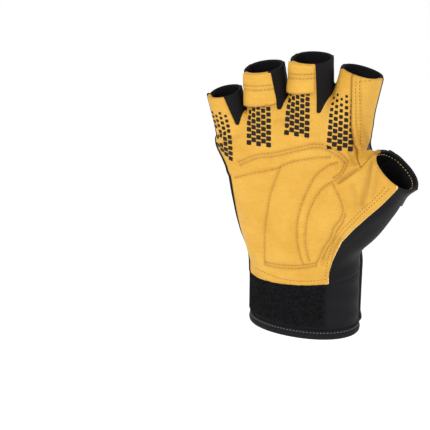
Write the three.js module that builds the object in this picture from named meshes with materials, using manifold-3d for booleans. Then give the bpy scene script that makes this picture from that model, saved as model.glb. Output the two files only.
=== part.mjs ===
// A right-hand fingerless glove, standing on its wrist opening with the fingers up.
// Millimetres. The palm faces -Y, the thumb side is +X, and z = 0 is the edge of the cuff.
import * as THREE from "three";
import Module from "manifold-3d";
import { mergeVertices } from "three/addons/utils/BufferGeometryUtils.js";

// Driving dimensions
const FABRIC_WALL = 1.8;
const LEATHER_RISE = 0.6;
const SEAM_GAP = 0.3;
const MOUTH_CLEARANCE = 4;
const CUFF_HEIGHT = 34.5;
const HEM_HEIGHT = 5;
const HEM_RISE = 0.5;
const STRAP_WIDTH = 27;
const STRAP_THICKNESS = 2.4;
const STRAP_FOOT = 6.5;
const LOOP_THICKNESS = 0.8;
const TAB_THICKNESS = 1.1;
const BINDING_RADIUS = 2.1;
const FAR = 90;
const TRUNK_SIDES = 40;
const TUBE_SIDES = 20;

// The hand part from the wrist to the knuckles. x and y are the middle of a section, width is its
// half width, palm and back its half depths, power how square it is, twist its turn in degrees
// and drop how far its little-finger end comes down.
const TRUNK = [
  { z: 0, x: 0, y: 0, width: 33, palm: 22.5, back: 22.5, power: 2.1, twist: 0, drop: 0 },
  { z: 36, x: 0, y: 0, width: 33, palm: 22.5, back: 22.5, power: 2.1, twist: 0, drop: 0 },
  { z: 47, x: -1, y: -0.5, width: 34, palm: 22, back: 21, power: 2.1, twist: 1, drop: 0 },
  { z: 58, x: -2, y: -1.5, width: 37, palm: 21, back: 19.5, power: 2.1, twist: 4, drop: 0 },
  { z: 75, x: -3, y: -4, width: 39.5, palm: 19, back: 17, power: 2.2, twist: 7, drop: 0 },
  { z: 95, x: -5, y: -4, width: 41.5, palm: 17, back: 15, power: 2.3, twist: 7, drop: 0 },
  { z: 114, x: -5.5, y: -5, width: 43.5, palm: 13.5, back: 13.5, power: 2.5, twist: 11, drop: 8 },
  { z: 136, x: -5.5, y: -8, width: 40, palm: 9, back: 9, power: 2.8, twist: 14, drop: 28 },
];

// The finger tubes: centre at the foot, which is inside the palm, and at the mouth, half widths and
// half depths at the foot, a third of the way up and at the mouth, and the slant of the mouth in
// degrees.
const FINGERS = {
  index: { foot: [26.5, 0.5, 112], mouth: [31.8, 1, 155], width: [8, 12.2, 12.2], depth: [8, 11.3, 11], slant: 0 },
  middle: { foot: [4.5, -3.5, 114], mouth: [6.4, -9.5, 162], width: [8, 12.2, 12.2], depth: [8, 11.3, 11], slant: 3 },
  ring: { foot: [-17.5, -7.5, 111], mouth: [-19.8, -16, 155.5], width: [8, 12, 11.8], depth: [8, 11, 10.3], slant: 6 },
  little: { foot: [-36, -10, 98], mouth: [-42, -20, 139.5], width: [6.5, 10, 9.8], depth: [6.5, 9.6, 9.2], slant: 3 },
};
const KNUCKLE = 0.36;

// The thumb tube from inside the palm to its mouth: centre, half width and half depth.
const THUMB = [
  { x: 14, y: -4, z: 52, width: 12, depth: 12 },
  { x: 29, y: -8, z: 69, width: 17, depth: 15.5 },
  { x: 45, y: -12, z: 88, width: 16.3, depth: 15.5 },
  { x: 54, y: -13, z: 99.5, width: 14, depth: 14.2 },
  { x: 59.5, y: -13.2, z: 106, width: 15, depth: 14.6 },
];

// The web between the thumb and the index finger, a short closed limb that fills the fork.
const WEB = [
  { x: 20, y: -5, z: 82, width: 13, depth: 11 },
  { x: 34, y: -7, z: 95, width: 12, depth: 11.5 },
  { x: 41, y: -8.5, z: 102.5, width: 8.5, depth: 9 },
  { x: 44.5, y: -9, z: 106.5, width: 4, depth: 5 },
];

// Wedges between the fingers. The front is a V between the leather strips, given by its foot and
// its two top corners; the back is a slot with a round foot; between them the wedge takes the
// whole facing sides of its two fingers.
const WEDGES = {
  pinky_ring_fourchette: { fingers: ["little", "ring"], foot: [-32.5, 122.5], left: [-38.5, 142],
    right: [-27.6, 158], slotFoot: [-30.5, 123.5], slotTop: [-31.5, 158] },
  ring_middle_fourchette: { fingers: ["ring", "middle"], foot: [-9.4, 133], left: [-12.5, 160],
    right: [-1.2, 166], slotFoot: [-7, 134], slotTop: [-6.8, 166] },
  middle_index_fourchette: { fingers: ["middle", "index"], foot: [13, 133], left: [14.1, 166],
    right: [24, 160], slotFoot: [17.4, 135.1], slotTop: [19, 166] },
};
const SLOT_HALF_WIDTH = 4.4;
const SIDE_HALF_DEPTH = 5.5;

// Edges of the leather seen from the front (x, z): the thumb side edge from the cuff to the rim of
// the thumb, and the left edge of the overlay on the index finger.
const LEATHER_EDGE = [[22.5, 30], [23.5, 40], [27.8, 50], [33.8, 63.5], [40.8, 73], [49.6, 82.5], [56, 89], [72, 108]];
const OVERLAY_EDGE = [[31.3, 160], [31, 124], [31.6, 112], [36, 102]];
// Edge of the back panel on the thumb side, seen from the back (x, z).
const BACK_EDGE = [[28, 20], [30, 50], [35, 74], [37.5, 95], [39, 104], [60, 106], [60, 170]];

const wasm = await Module();
wasm.setup();

// Helpers

function solidOf(geometry) {
  geometry.deleteAttribute("normal");
  geometry.deleteAttribute("uv");
  const merged = mergeVertices(geometry, 1e-4);
  const vertProperties = new Float32Array(merged.attributes.position.array);
  const triVerts = new Uint32Array(merged.index.array);
  return new wasm.Manifold(new wasm.Mesh({ numProp: 3, vertProperties, triVerts }));
}

function geometryOf(solid) {
  const mesh = solid.getMesh();
  const geometry = new THREE.BufferGeometry();
  geometry.setAttribute("position", new THREE.BufferAttribute(new Float32Array(mesh.vertProperties), 3));
  geometry.setIndex(new THREE.BufferAttribute(new Uint32Array(mesh.triVerts), 1));
  geometry.computeVertexNormals();
  return geometry;
}

function loft(rings) {
  const count = rings[0].length;
  const points = rings.flat();
  const faces = [];
  for (let level = 0; level + 1 < rings.length; level++) {
    for (let k = 0; k < count; k++) {
      const a = level * count + k;
      const b = level * count + ((k + 1) % count);
      faces.push(a, b, b + count, a, b + count, a + count);
    }
  }
  // Each end is closed by rungs across the ring, so that it follows a ring that isn't flat.
  const last = (rings.length - 1) * count;
  const rung = (a, b, c) => {
    faces.push(last + a, last + b, last + c);
    faces.push(a, c, b);
  };
  for (let k = 0; k < count / 2; k++) {
    const across = (count - k) % count;
    if (across !== k) rung(k, k + 1, across);
    if (k + 1 !== across - 1) rung(k + 1, across === 0 ? count - 1 : across - 1, across);
  }
  const geometry = new THREE.BufferGeometry().setFromPoints(points);
  geometry.setIndex(faces);
  return solidOf(geometry);
}

function prism(outline, from, to) {
  const shape = new THREE.Shape(outline.map(([x, z]) => new THREE.Vector2(x, z)));
  const geometry = new THREE.ExtrudeGeometry(shape, { depth: to - from, bevelEnabled: false });
  geometry.rotateX(Math.PI / 2);
  geometry.translate(0, to, 0);
  return solidOf(geometry);
}

// A half space below the plane through `point` with the given normal, as one big block.
function below(point, normal) {
  const block = new THREE.BoxGeometry(4 * FAR, 4 * FAR, 4 * FAR);
  block.translate(0, 0, -2 * FAR);
  block.applyQuaternion(new THREE.Quaternion().setFromUnitVectors(new THREE.Vector3(0, 0, 1), normal));
  block.translate(point.x, point.y, point.z);
  return solidOf(block);
}

function union(solids) {
  return solids.reduce((sum, solid) => sum.add(solid));
}

function spline(values, t) {
  const last = values.length - 1;
  const k = Math.min(Math.floor(t), last - 1);
  const f = t - k;
  const [a, b, c, d] = [values[Math.max(k - 1, 0)], values[k], values[k + 1], values[Math.min(k + 2, last)]];
  return b + 0.5 * f * (c - a + f * (2 * a - 5 * b + 4 * c - d + f * (3 * (b - c) + d - a)));
}

function resample(rows, t) {
  const row = {};
  for (const key of Object.keys(rows[0])) row[key] = spline(rows.map((r) => r[key]), t);
  return row;
}

function unitPower(value, power) {
  return Math.sign(value) * Math.abs(value) ** (2 / power);
}

// Sections

function trunkRing(row, grow) {
  const turn = THREE.MathUtils.degToRad(row.twist);
  const ring = [];
  for (let k = 0; k < TRUNK_SIDES; k++) {
    const angle = (2 * Math.PI * k) / TRUNK_SIDES;
    const side = unitPower(Math.cos(angle), row.power);
    const face = unitPower(Math.sin(angle), row.power);
    const across = side * (row.width + grow);
    const deep = face * ((face < 0 ? row.palm : row.back) + grow);
    const outer = Math.max(0, -side) ** 2;
    ring.push(new THREE.Vector3(
      row.x + across * Math.cos(turn) - deep * Math.sin(turn),
      row.y + across * Math.sin(turn) + deep * Math.cos(turn),
      row.z - row.drop * outer,
    ));
  }
  return ring;
}

// The back of the wrist at x, with z below the cuff's top, where the section is constant.
function cuffPoint(angle, offset, z) {
  const row = { ...TRUNK[0], z };
  const side = unitPower(Math.cos(angle), row.power);
  const face = unitPower(Math.sin(angle), row.power);
  const point = new THREE.Vector3(side * row.width, face * row.back, z);
  const slope = new THREE.Vector3(
    Math.sign(side) * Math.abs(side) ** (row.power - 1) / row.width,
    Math.sign(face) * Math.abs(face) ** (row.power - 1) / row.back,
    0,
  ).normalize();
  return point.addScaledVector(slope, offset);
}

function trunkRings(grow, open) {
  const steps = [0, 1, 1.5, 2, 2.5, 3, 3.5, 4, 4.5, 5, 5.5, 6, 6.5, 7];
  const rings = steps.map((t) => trunkRing(resample(TRUNK, t), grow));
  if (open) {
    const top = rings[rings.length - 1];
    for (const point of top) point.z -= FABRIC_WALL;
    rings.unshift(rings[0].map((p) => new THREE.Vector3(p.x, p.y, -MOUTH_CLEARANCE)));
  }
  return rings;
}

function tubeRing(centre, across, deep, width, depth) {
  const ring = [];
  for (let k = 0; k < TUBE_SIDES; k++) {
    const angle = (2 * Math.PI * k) / TUBE_SIDES;
    const side = unitPower(Math.cos(angle), 2.15) * width;
    const face = unitPower(Math.sin(angle), 2.15) * depth;
    ring.push(centre.clone().addScaledVector(across, side).addScaledVector(deep, face));
  }
  return ring;
}

function fingerRings(finger, grow, open) {
  const foot = new THREE.Vector3(...finger.foot);
  const mouth = new THREE.Vector3(...finger.mouth);
  const axis = mouth.clone().sub(foot).normalize();
  const flat = new THREE.Vector3(0, 1, 0).cross(axis).normalize();
  const deep = axis.clone().cross(flat);
  const length = foot.distanceTo(mouth);
  const stations = open ? [0, KNUCKLE, 0.7, 1, 1 + MOUTH_CLEARANCE / length] : [0, KNUCKLE, 0.7, 1];
  const sizeAt = (sizes, t) => (t < KNUCKLE
    ? THREE.MathUtils.lerp(sizes[0], sizes[1], t / KNUCKLE)
    : THREE.MathUtils.lerp(sizes[1], sizes[2], (Math.min(t, 1) - KNUCKLE) / (1 - KNUCKLE)));
  return stations.map((t) => {
    const turn = THREE.MathUtils.degToRad(finger.slant) * Math.min(t, 1);
    const across = flat.clone().multiplyScalar(Math.cos(turn)).addScaledVector(axis, Math.sin(turn));
    const centre = foot.clone().addScaledVector(axis, t * length);
    return tubeRing(centre, across, deep, sizeAt(finger.width, t) + grow, sizeAt(finger.depth, t) + grow);
  });
}

function limbFrame(rows, t) {
  const here = resample(rows, t);
  const ahead = resample(rows, Math.min(t + 0.05, rows.length - 1));
  const behind = resample(rows, Math.max(t - 0.05, 0));
  const axis = new THREE.Vector3(ahead.x - behind.x, ahead.y - behind.y, ahead.z - behind.z).normalize();
  const across = new THREE.Vector3(0, 1, 0).cross(axis).normalize();
  return { ...here, centre: new THREE.Vector3(here.x, here.y, here.z), axis, across, deep: axis.clone().cross(across) };
}

function limbRings(rows, grow, open) {
  const rings = [];
  for (let t = 0; t <= rows.length - 1; t += 0.5) {
    const f = limbFrame(rows, t);
    if (!open) f.centre.addScaledVector(f.axis, grow);
    rings.push(tubeRing(f.centre, f.across, f.deep, f.width + grow, f.depth + grow));
  }
  if (open) {
    const f = limbFrame(rows, rows.length - 1);
    rings.push(rings[rings.length - 1].map((p) => p.clone().addScaledVector(f.axis, MOUTH_CLEARANCE)));
  }
  return rings;
}

function gloveBody(grow, open) {
  const parts = [loft(trunkRings(grow, open)), loft(limbRings(THUMB, grow, open)), loft(limbRings(WEB, grow, false))];
  for (const finger of Object.values(FINGERS)) parts.push(loft(fingerRings(finger, grow, open)));
  return union(parts);
}

// The glove's outer and inner forms

const hollow = gloveBody(-FABRIC_WALL, true);
const fabricShell = gloveBody(0, false).subtract(hollow);
const leatherShell = gloveBody(LEATHER_RISE, false).subtract(hollow);

// The side seam: y as a function of x and z. It lies towards the palm on the little-finger side,
// behind the index finger on the thumb side, and along the middle of the thumb.
function seamY(x, z) {
  const row = resample(TRUNK, Math.min(Math.max(trunkStep(z), 0), TRUNK.length - 1));
  const little = FINGERS.little;
  const rise = THREE.MathUtils.clamp((z - little.foot[2]) / (little.mouth[2] - little.foot[2]), 0, 1.2);
  const fingerEdge = THREE.MathUtils.lerp(little.foot[1], little.mouth[1], rise) - 0.4 * little.depth[0];
  const palmEdge = row.y - row.width * Math.sin(THREE.MathUtils.degToRad(row.twist)) - 0.45 * row.palm;
  const outer = THREE.MathUtils.lerp(palmEdge, fingerEdge, THREE.MathUtils.smoothstep(z, 100, 122));
  const fingers = THREE.MathUtils.smoothstep(z, 100, 125);
  const ring = THREE.MathUtils.lerp(-6, -13, fingers);
  const middle = THREE.MathUtils.lerp(-3, -7, fingers);
  const knots = [[-FAR, outer], [-36, outer], [-20, ring], [5, middle], [28, 0], [35, 6.5], [41, 6.5], [46, -9],
    [50, -12], [FAR, -12]];
  for (let k = 0; k + 1 < knots.length; k++) {
    const [x0, y0] = knots[k];
    const [x1, y1] = knots[k + 1];
    if (x <= x1) return THREE.MathUtils.lerp(y0, y1, (x - x0) / (x1 - x0));
  }
  return -12;
}

function trunkStep(z) {
  let step = 0;
  while (step + 1 < TRUNK.length - 1 && TRUNK[step + 1].z < z) step++;
  return step + THREE.MathUtils.clamp((z - TRUNK[step].z) / (TRUNK[step + 1].z - TRUNK[step].z), 0, 1);
}

// Everything in front of the side seam, as a block whose back face is the seam surface.
function frontBlock(shift) {
  const xs = [-80, -50, -44, -36, -28, -20, 0, 28, 35, 40, 43, 46, 50, 60, 90];
  const zs = [10, 40, 55, 70, 85, 100, 107, 114, 122, 130, 140, 180];
  const points = [];
  for (const z of zs) for (const x of xs) points.push(new THREE.Vector3(x, seamY(x, z) + shift, z));
  for (const z of zs) for (const x of xs) points.push(new THREE.Vector3(x, -FAR, z));
  const wide = xs.length;
  const layer = wide * zs.length;
  const faces = [];
  const quad = (a, b, c, d) => faces.push(a, b, c, a, c, d);
  for (let i = 0; i + 1 < zs.length; i++) {
    for (let k = 0; k + 1 < wide; k++) {
      const a = i * wide + k;
      quad(a, a + wide, a + wide + 1, a + 1);
      quad(a + layer, a + layer + 1, a + layer + wide + 1, a + layer + wide);
    }
  }
  for (let k = 0; k + 1 < wide; k++) {
    const top = layer - wide + k;
    quad(k, k + 1, k + 1 + layer, k + layer);
    quad(top + 1, top, top + layer, top + 1 + layer);
  }
  for (let i = 0; i + 1 < zs.length; i++) {
    const left = i * wide;
    const right = left + wide - 1;
    quad(left + wide, left, left + layer, left + wide + layer);
    quad(right, right + wide, right + wide + layer, right + layer);
  }
  const geometry = new THREE.BufferGeometry().setFromPoints(points);
  geometry.setIndex(faces);
  return solidOf(geometry);
}

// The wedge between two fingers: a V in front and a round-footed slot behind.
function wedgeBlock(w, spread) {
  const [fx, fz] = w.foot;
  const front = [[fx - 1 - spread, fz + 1], [fx, fz - 0.8 - spread], [fx + 1 + spread, fz + 1],
    [w.right[0] + spread, w.right[1]], [w.left[0] - spread, w.right[1] + 10], [w.left[0] - spread, w.left[1]]];
  const back = [];
  const half = SLOT_HALF_WIDTH + spread;
  for (let k = 0; k <= 8; k++) {
    const angle = Math.PI + (Math.PI * k) / 8;
    back.push([w.slotFoot[0] + half * Math.cos(angle), w.slotFoot[1] + half * (1 + Math.sin(angle)) - spread]);
  }
  back.push([w.slotTop[0] + half, w.slotTop[1]], [w.slotTop[0] - half, w.slotTop[1]]);
  const [a, b] = w.fingers.map((name) => new THREE.Vector3().lerpVectors(
    new THREE.Vector3(...FINGERS[name].foot), new THREE.Vector3(...FINGERS[name].mouth), 0.6,
  ));
  const deep = SIDE_HALF_DEPTH + spread;
  const plan = new THREE.Shape([
    new THREE.Vector2(a.x, a.y - deep), new THREE.Vector2(b.x, b.y - deep),
    new THREE.Vector2(b.x, b.y + deep), new THREE.Vector2(a.x, a.y + deep),
  ]);
  const sides = new THREE.ExtrudeGeometry(plan, { depth: FAR, bevelEnabled: false });
  sides.translate(0, 0, fz - 1.5 - spread);
  const split = (a.y + b.y) / 2;
  return union([prism(front, -FAR, split), solidOf(sides), prism(back, split, FAR)]);
}

// The largest body of a panel: the cuts can leave slivers beside it.
function mainBody(solid) {
  return solid.decompose().reduce((best, body) => (body.volume() > best.volume() ? body : best));
}

// The cuff's top edge: lower towards the palm and the little finger.
const cuffTop = new THREE.Vector3(0, 0, CUFF_HEIGHT);
const cuffTilt = new THREE.Vector3(-0.09, -0.11, 1).normalize();
const cuffSpace = below(cuffTop, cuffTilt);
const cuffSpaceGrown = below(cuffTop.clone().addScaledVector(cuffTilt, SEAM_GAP), cuffTilt);

// The slit in the back of the cuff, with its arched top.
const slitOutline = [[24, -10], [28.6, -10], [29.6, 30], [29.6, 44], [28, 48.5], [25, 49.5], [21.5, 47], [18.8, 41], [17.6, 35.5], [24, 33]];
const slit = prism(slitOutline, 3, FAR);

// Panels, cut one after the other, each keeping a seam's gap to the next.

const front = frontBlock(0);
const frontGrown = frontBlock(SEAM_GAP);
const leatherArea = prism([...LEATHER_EDGE, [72, 180], [-70, 180], [-70, 20], [22.5, 20]], -FAR, FAR);
const leatherAreaGrown = prism([
  ...LEATHER_EDGE.map(([x, z]) => [x + SEAM_GAP, z - SEAM_GAP]), [72.5, 180], [-70, 180], [-70, 19], [22.8, 19],
], -FAR, FAR);
const overlayArea = prism([...OVERLAY_EDGE, [40, 98], [48, 104], [48, 170], [31.3, 170]], -FAR, FAR);
const overlayAreaGrown = prism([
  ...OVERLAY_EDGE.map(([x, z]) => [x - SEAM_GAP, z]), [40, 97.6], [48.3, 104], [48.3, 170], [31, 170],
], -FAR, FAR);

const wedges = Object.entries(WEDGES).map(([name, w]) => ({
  name,
  block: wedgeBlock(w, 0),
  grown: wedgeBlock(w, SEAM_GAP),
}));
const allWedges = union(wedges.map((w) => w.grown));

// The index finger's own side, so that the overlay stays off the thumb.
const thumbSide = loft(limbRings(THUMB, LEATHER_RISE + SEAM_GAP, true));
const webSide = loft(limbRings(WEB, LEATHER_RISE + SEAM_GAP, false));
const forkSide = thumbSide.add(webSide);
const leatherFront = leatherShell.intersect(front).intersect(leatherArea).subtract(cuffSpaceGrown).subtract(allWedges);
const palmLeather = leatherFront.subtract(overlayAreaGrown.subtract(forkSide));
const indexSideLeather = leatherFront.intersect(overlayArea).subtract(forkSide);

const leatherTaken = frontGrown.intersect(leatherAreaGrown);
const rest = fabricShell.subtract(leatherTaken).subtract(cuffSpaceGrown).subtract(slit);
const behindLeather = prism([[-70, 10], [20, 10], [20, 170], [-70, 170]], -FAR, FAR);
const backArea = prism([[-70, 10], ...BACK_EDGE, [-70, 170]], 0, FAR).subtract(forkSide).add(behindLeather);
const backAreaGrown = prism(
  [[-70, 10], ...BACK_EDGE.map(([x, z]) => [x + SEAM_GAP, z - SEAM_GAP]), [-70, 170]], -SEAM_GAP, FAR,
).subtract(forkSide).add(behindLeather);

// The thumb's own back piece lies above a plane across the tube.
const lap = limbFrame(THUMB, 2.35);
const lapSpace = below(lap.centre, lap.axis.clone().negate());
const lapSpaceGrown = below(lap.centre.clone().addScaledVector(lap.axis, -SEAM_GAP), lap.axis.clone().negate());

const restNoWedge = rest.subtract(allWedges);
const backPanel = restNoWedge.intersect(backArea);
const sideRest = restNoWedge.subtract(backAreaGrown);
const thumbBackPanel = sideRest.intersect(lapSpace).intersect(thumbSide);
const thumbSidePanel = sideRest.subtract(lapSpaceGrown.intersect(thumbSide));

// Pull tabs: a second layer of leather over the finger strips.
const tabOuter = gloveBody(LEATHER_RISE + SEAM_GAP + TAB_THICKNESS, false);
const tabInner = gloveBody(LEATHER_RISE + SEAM_GAP, true);
const tabShell = tabOuter.subtract(tabInner);
function pullTab(left, right, foot, head, backLimit) {
  const area = prism([[left[0], foot], [right[0], foot], [right[1], head], [left[1], head]], -FAR, backLimit);
  return tabShell.intersect(area).subtract(allWedges);
}

// Wrist pieces

function cuffBand(fromAngle, toAngle, steps, inner, thickness, outlineAt) {
  const rings = [];
  for (let k = 0; k <= steps; k++) {
    const angle = THREE.MathUtils.lerp(fromAngle, toAngle, k / steps);
    const [low, high] = outlineAt(k / steps);
    rings.push([
      cuffPoint(angle, inner, low),
      cuffPoint(angle, inner, high),
      cuffPoint(angle, inner + thickness, high),
      cuffPoint(angle, inner + thickness, low),
    ]);
  }
  return loft(rings);
}

const degrees = THREE.MathUtils.degToRad;

// The binding: a thick rolled cord up the thumb side of the slit, over its arch and down again.
function backOfHand(x, z) {
  const row = resample(TRUNK, trunkStep(z));
  const side = (x - row.x) / row.width;
  const depth = row.back * (1 - Math.abs(side) ** row.power) ** (1 / row.power);
  return row.y + depth + Math.tan(degrees(row.twist)) * (x - row.x);
}
const bindingRoute = [[29.2, 2.4], [29.6, 12], [30, 24], [30, 36], [29.4, 44], [26.5, 48.8], [22.4, 47.4], [19.2, 42], [17.6, 37.6]];
const bindingPath = new THREE.CatmullRomCurve3(
  bindingRoute.map(([x, z]) => new THREE.Vector3(x, backOfHand(x, z) + 0.4, z)),
);
function bindingSolid(radius) {
  const section = new THREE.Shape();
  section.absarc(0, 0, radius, 0, 2 * Math.PI, false);
  const settings = { steps: 20, curveSegments: 8, bevelEnabled: false, extrudePath: bindingPath };
  return solidOf(new THREE.ExtrudeGeometry(section, settings));
}
const binding = bindingSolid(BINDING_RADIUS);
const bindingGrown = bindingSolid(BINDING_RADIUS + SEAM_GAP);

const hemSpace = below(new THREE.Vector3(0, 0, HEM_HEIGHT), new THREE.Vector3(0, 0, 1));
const hemSpaceGrown = below(new THREE.Vector3(0, 0, HEM_HEIGHT + SEAM_GAP), new THREE.Vector3(0, 0, 1));
const hemShell = gloveBody(HEM_RISE, false).subtract(hollow);
const cuffShell = fabricShell.intersect(cuffSpace).subtract(slit);
const cuffPanel = cuffShell.subtract(hemSpaceGrown).subtract(bindingGrown);
const cuffHem = hemShell.intersect(hemSpace).subtract(slit).subtract(bindingGrown);

const loopField = cuffBand(degrees(105), degrees(297), 26, SEAM_GAP, LOOP_THICKNESS,
  () => [HEM_HEIGHT + 1, CUFF_HEIGHT - 6]);
const strapInner = SEAM_GAP + LOOP_THICKNESS + SEAM_GAP;
const strap = cuffBand(degrees(38), degrees(128), 22, strapInner, STRAP_THICKNESS, (t) => {
  const half = STRAP_WIDTH / 2;
  const middle = STRAP_FOOT + half;
  const round = THREE.MathUtils.clamp((t - 0.72) / 0.28, 0, 0.995);
  const height = half * Math.sqrt(1 - round * round);
  return [middle - height, middle + height];
});

// Materials

const leather = new THREE.MeshStandardMaterial({ color: 0xf0b848, roughness: 0.65 });
const blackKnit = new THREE.MeshStandardMaterial({ color: 0x19171c, roughness: 0.85 });
const greyKnit = new THREE.MeshStandardMaterial({ color: 0x55555d, roughness: 0.8 });
const loopPile = new THREE.MeshStandardMaterial({ color: 0x141316, roughness: 0.95 });
const strapSkin = new THREE.MeshStandardMaterial({ color: 0x3a3a3e, roughness: 0.6 });

const pieces = [
  ["palm_leather", palmLeather, leather],
  ["index_side_leather", indexSideLeather, leather],
  ["ring_pull_tab", pullTab([-30.5, -28], [-11, -12.2], 135.5, 170, -16), leather],
  ["middle_pull_tab", pullTab([-4.5, -1.4], [13.3, 14], 144, 170, -9), leather],
  ["back_panel", backPanel.subtract(bindingGrown), greyKnit],
  ["thumb_side_panel", thumbSidePanel.subtract(bindingGrown), blackKnit],
  ["thumb_back_panel", thumbBackPanel, blackKnit],
  ...wedges.map((w) => [w.name, fabricShell.intersect(w.block), blackKnit]),
  ["cuff_band", cuffPanel, blackKnit],
  ["cuff_hem", cuffHem, blackKnit],
  ["loop_field", loopField, loopPile],
  ["slit_binding", binding, blackKnit],
  ["closure_strap", strap, strapSkin],
];

const glove = new THREE.Group();
for (const [name, solid, material] of pieces) {
  const mesh = new THREE.Mesh(geometryOf(mainBody(solid)), material);
  mesh.name = name;
  glove.add(mesh);
}

export default glove;
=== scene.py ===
"""A right-hand fingerless fishing glove, sewn from leather and stretch cloth, put together piece by piece.

Lengths in the tables are millimetres in the glove's own frame: the palm faces -Y, the thumb side is +X
and z = 0 is the edge of the cuff. Meshes are made in metres.
"""
import math

import bmesh
import bpy
import numpy as np
from mathutils import Matrix, Vector
from mathutils.bvhtree import BVHTree
from mathutils.kdtree import KDTree


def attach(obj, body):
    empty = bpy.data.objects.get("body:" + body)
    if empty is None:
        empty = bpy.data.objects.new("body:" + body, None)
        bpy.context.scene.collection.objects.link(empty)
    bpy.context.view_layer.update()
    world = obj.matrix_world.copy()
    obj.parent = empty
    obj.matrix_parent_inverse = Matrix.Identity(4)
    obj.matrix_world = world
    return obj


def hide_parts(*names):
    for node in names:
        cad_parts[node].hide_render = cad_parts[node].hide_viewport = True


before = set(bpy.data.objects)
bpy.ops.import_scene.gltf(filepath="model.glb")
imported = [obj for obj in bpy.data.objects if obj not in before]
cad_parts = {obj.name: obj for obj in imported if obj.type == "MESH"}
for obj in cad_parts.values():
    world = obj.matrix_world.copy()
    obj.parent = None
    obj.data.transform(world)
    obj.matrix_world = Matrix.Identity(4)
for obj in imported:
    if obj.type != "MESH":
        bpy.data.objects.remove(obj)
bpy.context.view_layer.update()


# The last
# Every panel is sewn to the shape of a hand. This is that shape, the last that the glove is lasted on:
# the hand, four finger tubes, the thumb and the web beside it, run together with soft fillets.
MM = 0.001
GRID = 0.75
COARSE = 3.0
GRID_LOW = np.array([-60.0, -42.0, -7.0])
GRID_HIGH = np.array([80.0, 34.0, 171.0])

# Sections of the hand by level: their middle, half width, depth towards the palm and the back, squareness
# and twist in degrees, and how far the level drops towards the little finger.
HAND = {
    "z": [-10, 0, 36, 47, 58, 75, 95, 114, 136],
    "x": [0, 0, 0, -1, -2, -3, -5, -5.5, -5.5],
    "y": [0, 0, 0, -0.5, -1.5, -4, -4, -5, -8],
    "width": [33, 33, 33, 34, 37, 39.5, 41.5, 43.5, 40],
    "palm": [22.5, 22.5, 22.5, 22, 21, 19, 17, 13.5, 9],
    "back": [22.5, 22.5, 22.5, 21, 19.5, 17, 15, 13.5, 9],
    "power": [2.1, 2.1, 2.1, 2.1, 2.1, 2.2, 2.3, 2.5, 2.8],
    "twist": [0, 0, 0, 1, 4, 7, 7, 11, 14],
    "drop": [0, 0, 0, 0, 0, 0, 0, 8, 28],
}
# A finger's tube runs from its foot to its mouth, with half widths and half depths at three places. The
# mouth slants by so many degrees.
FINGERS = {
    "index": {"foot": (22.3, -0.5, 112), "mouth": (31.8, 1, 155), "slant": 0,
              "width": (8, 12.2, 12.2), "depth": (8, 11.3, 11)},
    "middle": {"foot": (4.5, -3.5, 114), "mouth": (6.4, -9.5, 162), "slant": 3,
               "width": (8, 12.2, 12.2), "depth": (8, 11.3, 11)},
    "ring": {"foot": (-17.5, -7.5, 111), "mouth": (-19.8, -16, 155.5), "slant": 6,
             "width": (8, 12, 11.8), "depth": (8, 11, 10.3)},
    "little": {"foot": (-36, -10, 98), "mouth": (-42, -20, 139.5), "slant": 3,
               "width": (6.5, 10, 9.8), "depth": (6.5, 9.6, 9.2)},
}
# The tube has its full girth from this part of its length on.
KNUCKLE = 0.36
# Sections along the middle of the thumb, and of the web between the thumb and the index finger.
THUMB = {
    "x": [14, 29, 45, 54, 59.5], "y": [-4, -8, -12, -13, -13.2], "z": [52, 69, 88, 99.5, 106],
    "width": [12, 17, 16.3, 14, 15], "depth": [12, 15.5, 15.5, 14.2, 14.6],
}
WEB = {
    "x": [20, 34, 41, 44.5], "y": [-5, -7, -8.5, -9], "z": [82, 95, 102.5, 106.5],
    "width": [13, 12, 8.5, 4], "depth": [11, 11.5, 9, 5],
}
# Fingers and thumb are slightly squared ovals, and the parts run into each other with these fillets.
TUBE_POWER = 2.15
FILLETS = {"hand_top": 7, "thumb": 9, "web": 12, "fingers": 2.0, "roots": 7}
THUMB_RUN_ON = 8


def smooth_curve(rows, count):
    """Catmull-Rom through the rows of a table, each column resampled at count places."""
    out = {}
    t = np.linspace(0, len(rows["z"]) - 1, count)
    k = np.minimum(t.astype(int), len(rows["z"]) - 2)
    f = t - k
    for name, values in rows.items():
        v = np.array(values, float)
        a, b, c, d = v[np.maximum(k - 1, 0)], v[k], v[k + 1], v[np.minimum(k + 2, len(v) - 1)]
        out[name] = b + 0.5 * f * (c - a + f * (2 * a - 5 * b + 4 * c - d + f * (3 * (b - c) + d - a)))
    return out


def oval_distance(across, deep, width, depth, power):
    """How far a point is outside a rounded oval section, to first order."""
    a, d = np.abs(across) / width, np.abs(deep) / depth
    reach = np.maximum((a ** power + d ** power) ** (1 / power), 1e-3)
    slope = reach ** (1 - power) * np.hypot(a ** (power - 1) / width, d ** (power - 1) / depth)
    return np.maximum((reach - 1) / np.maximum(slope, 1e-4), -0.7 * np.minimum(width, depth))


def soft_min(a, b, fillet):
    """The smaller of two distances, with a fillet where they meet."""
    h = np.maximum(fillet - np.abs(a - b), 0) / fillet
    return np.minimum(a, b) - h * h * fillet / 4


hand_rows = smooth_curve(HAND, 240)


def hand_section(level):
    """The measures of the hand's section at each level."""
    return {name: np.interp(level, hand_rows["z"], values) for name, values in hand_rows.items()}


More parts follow.
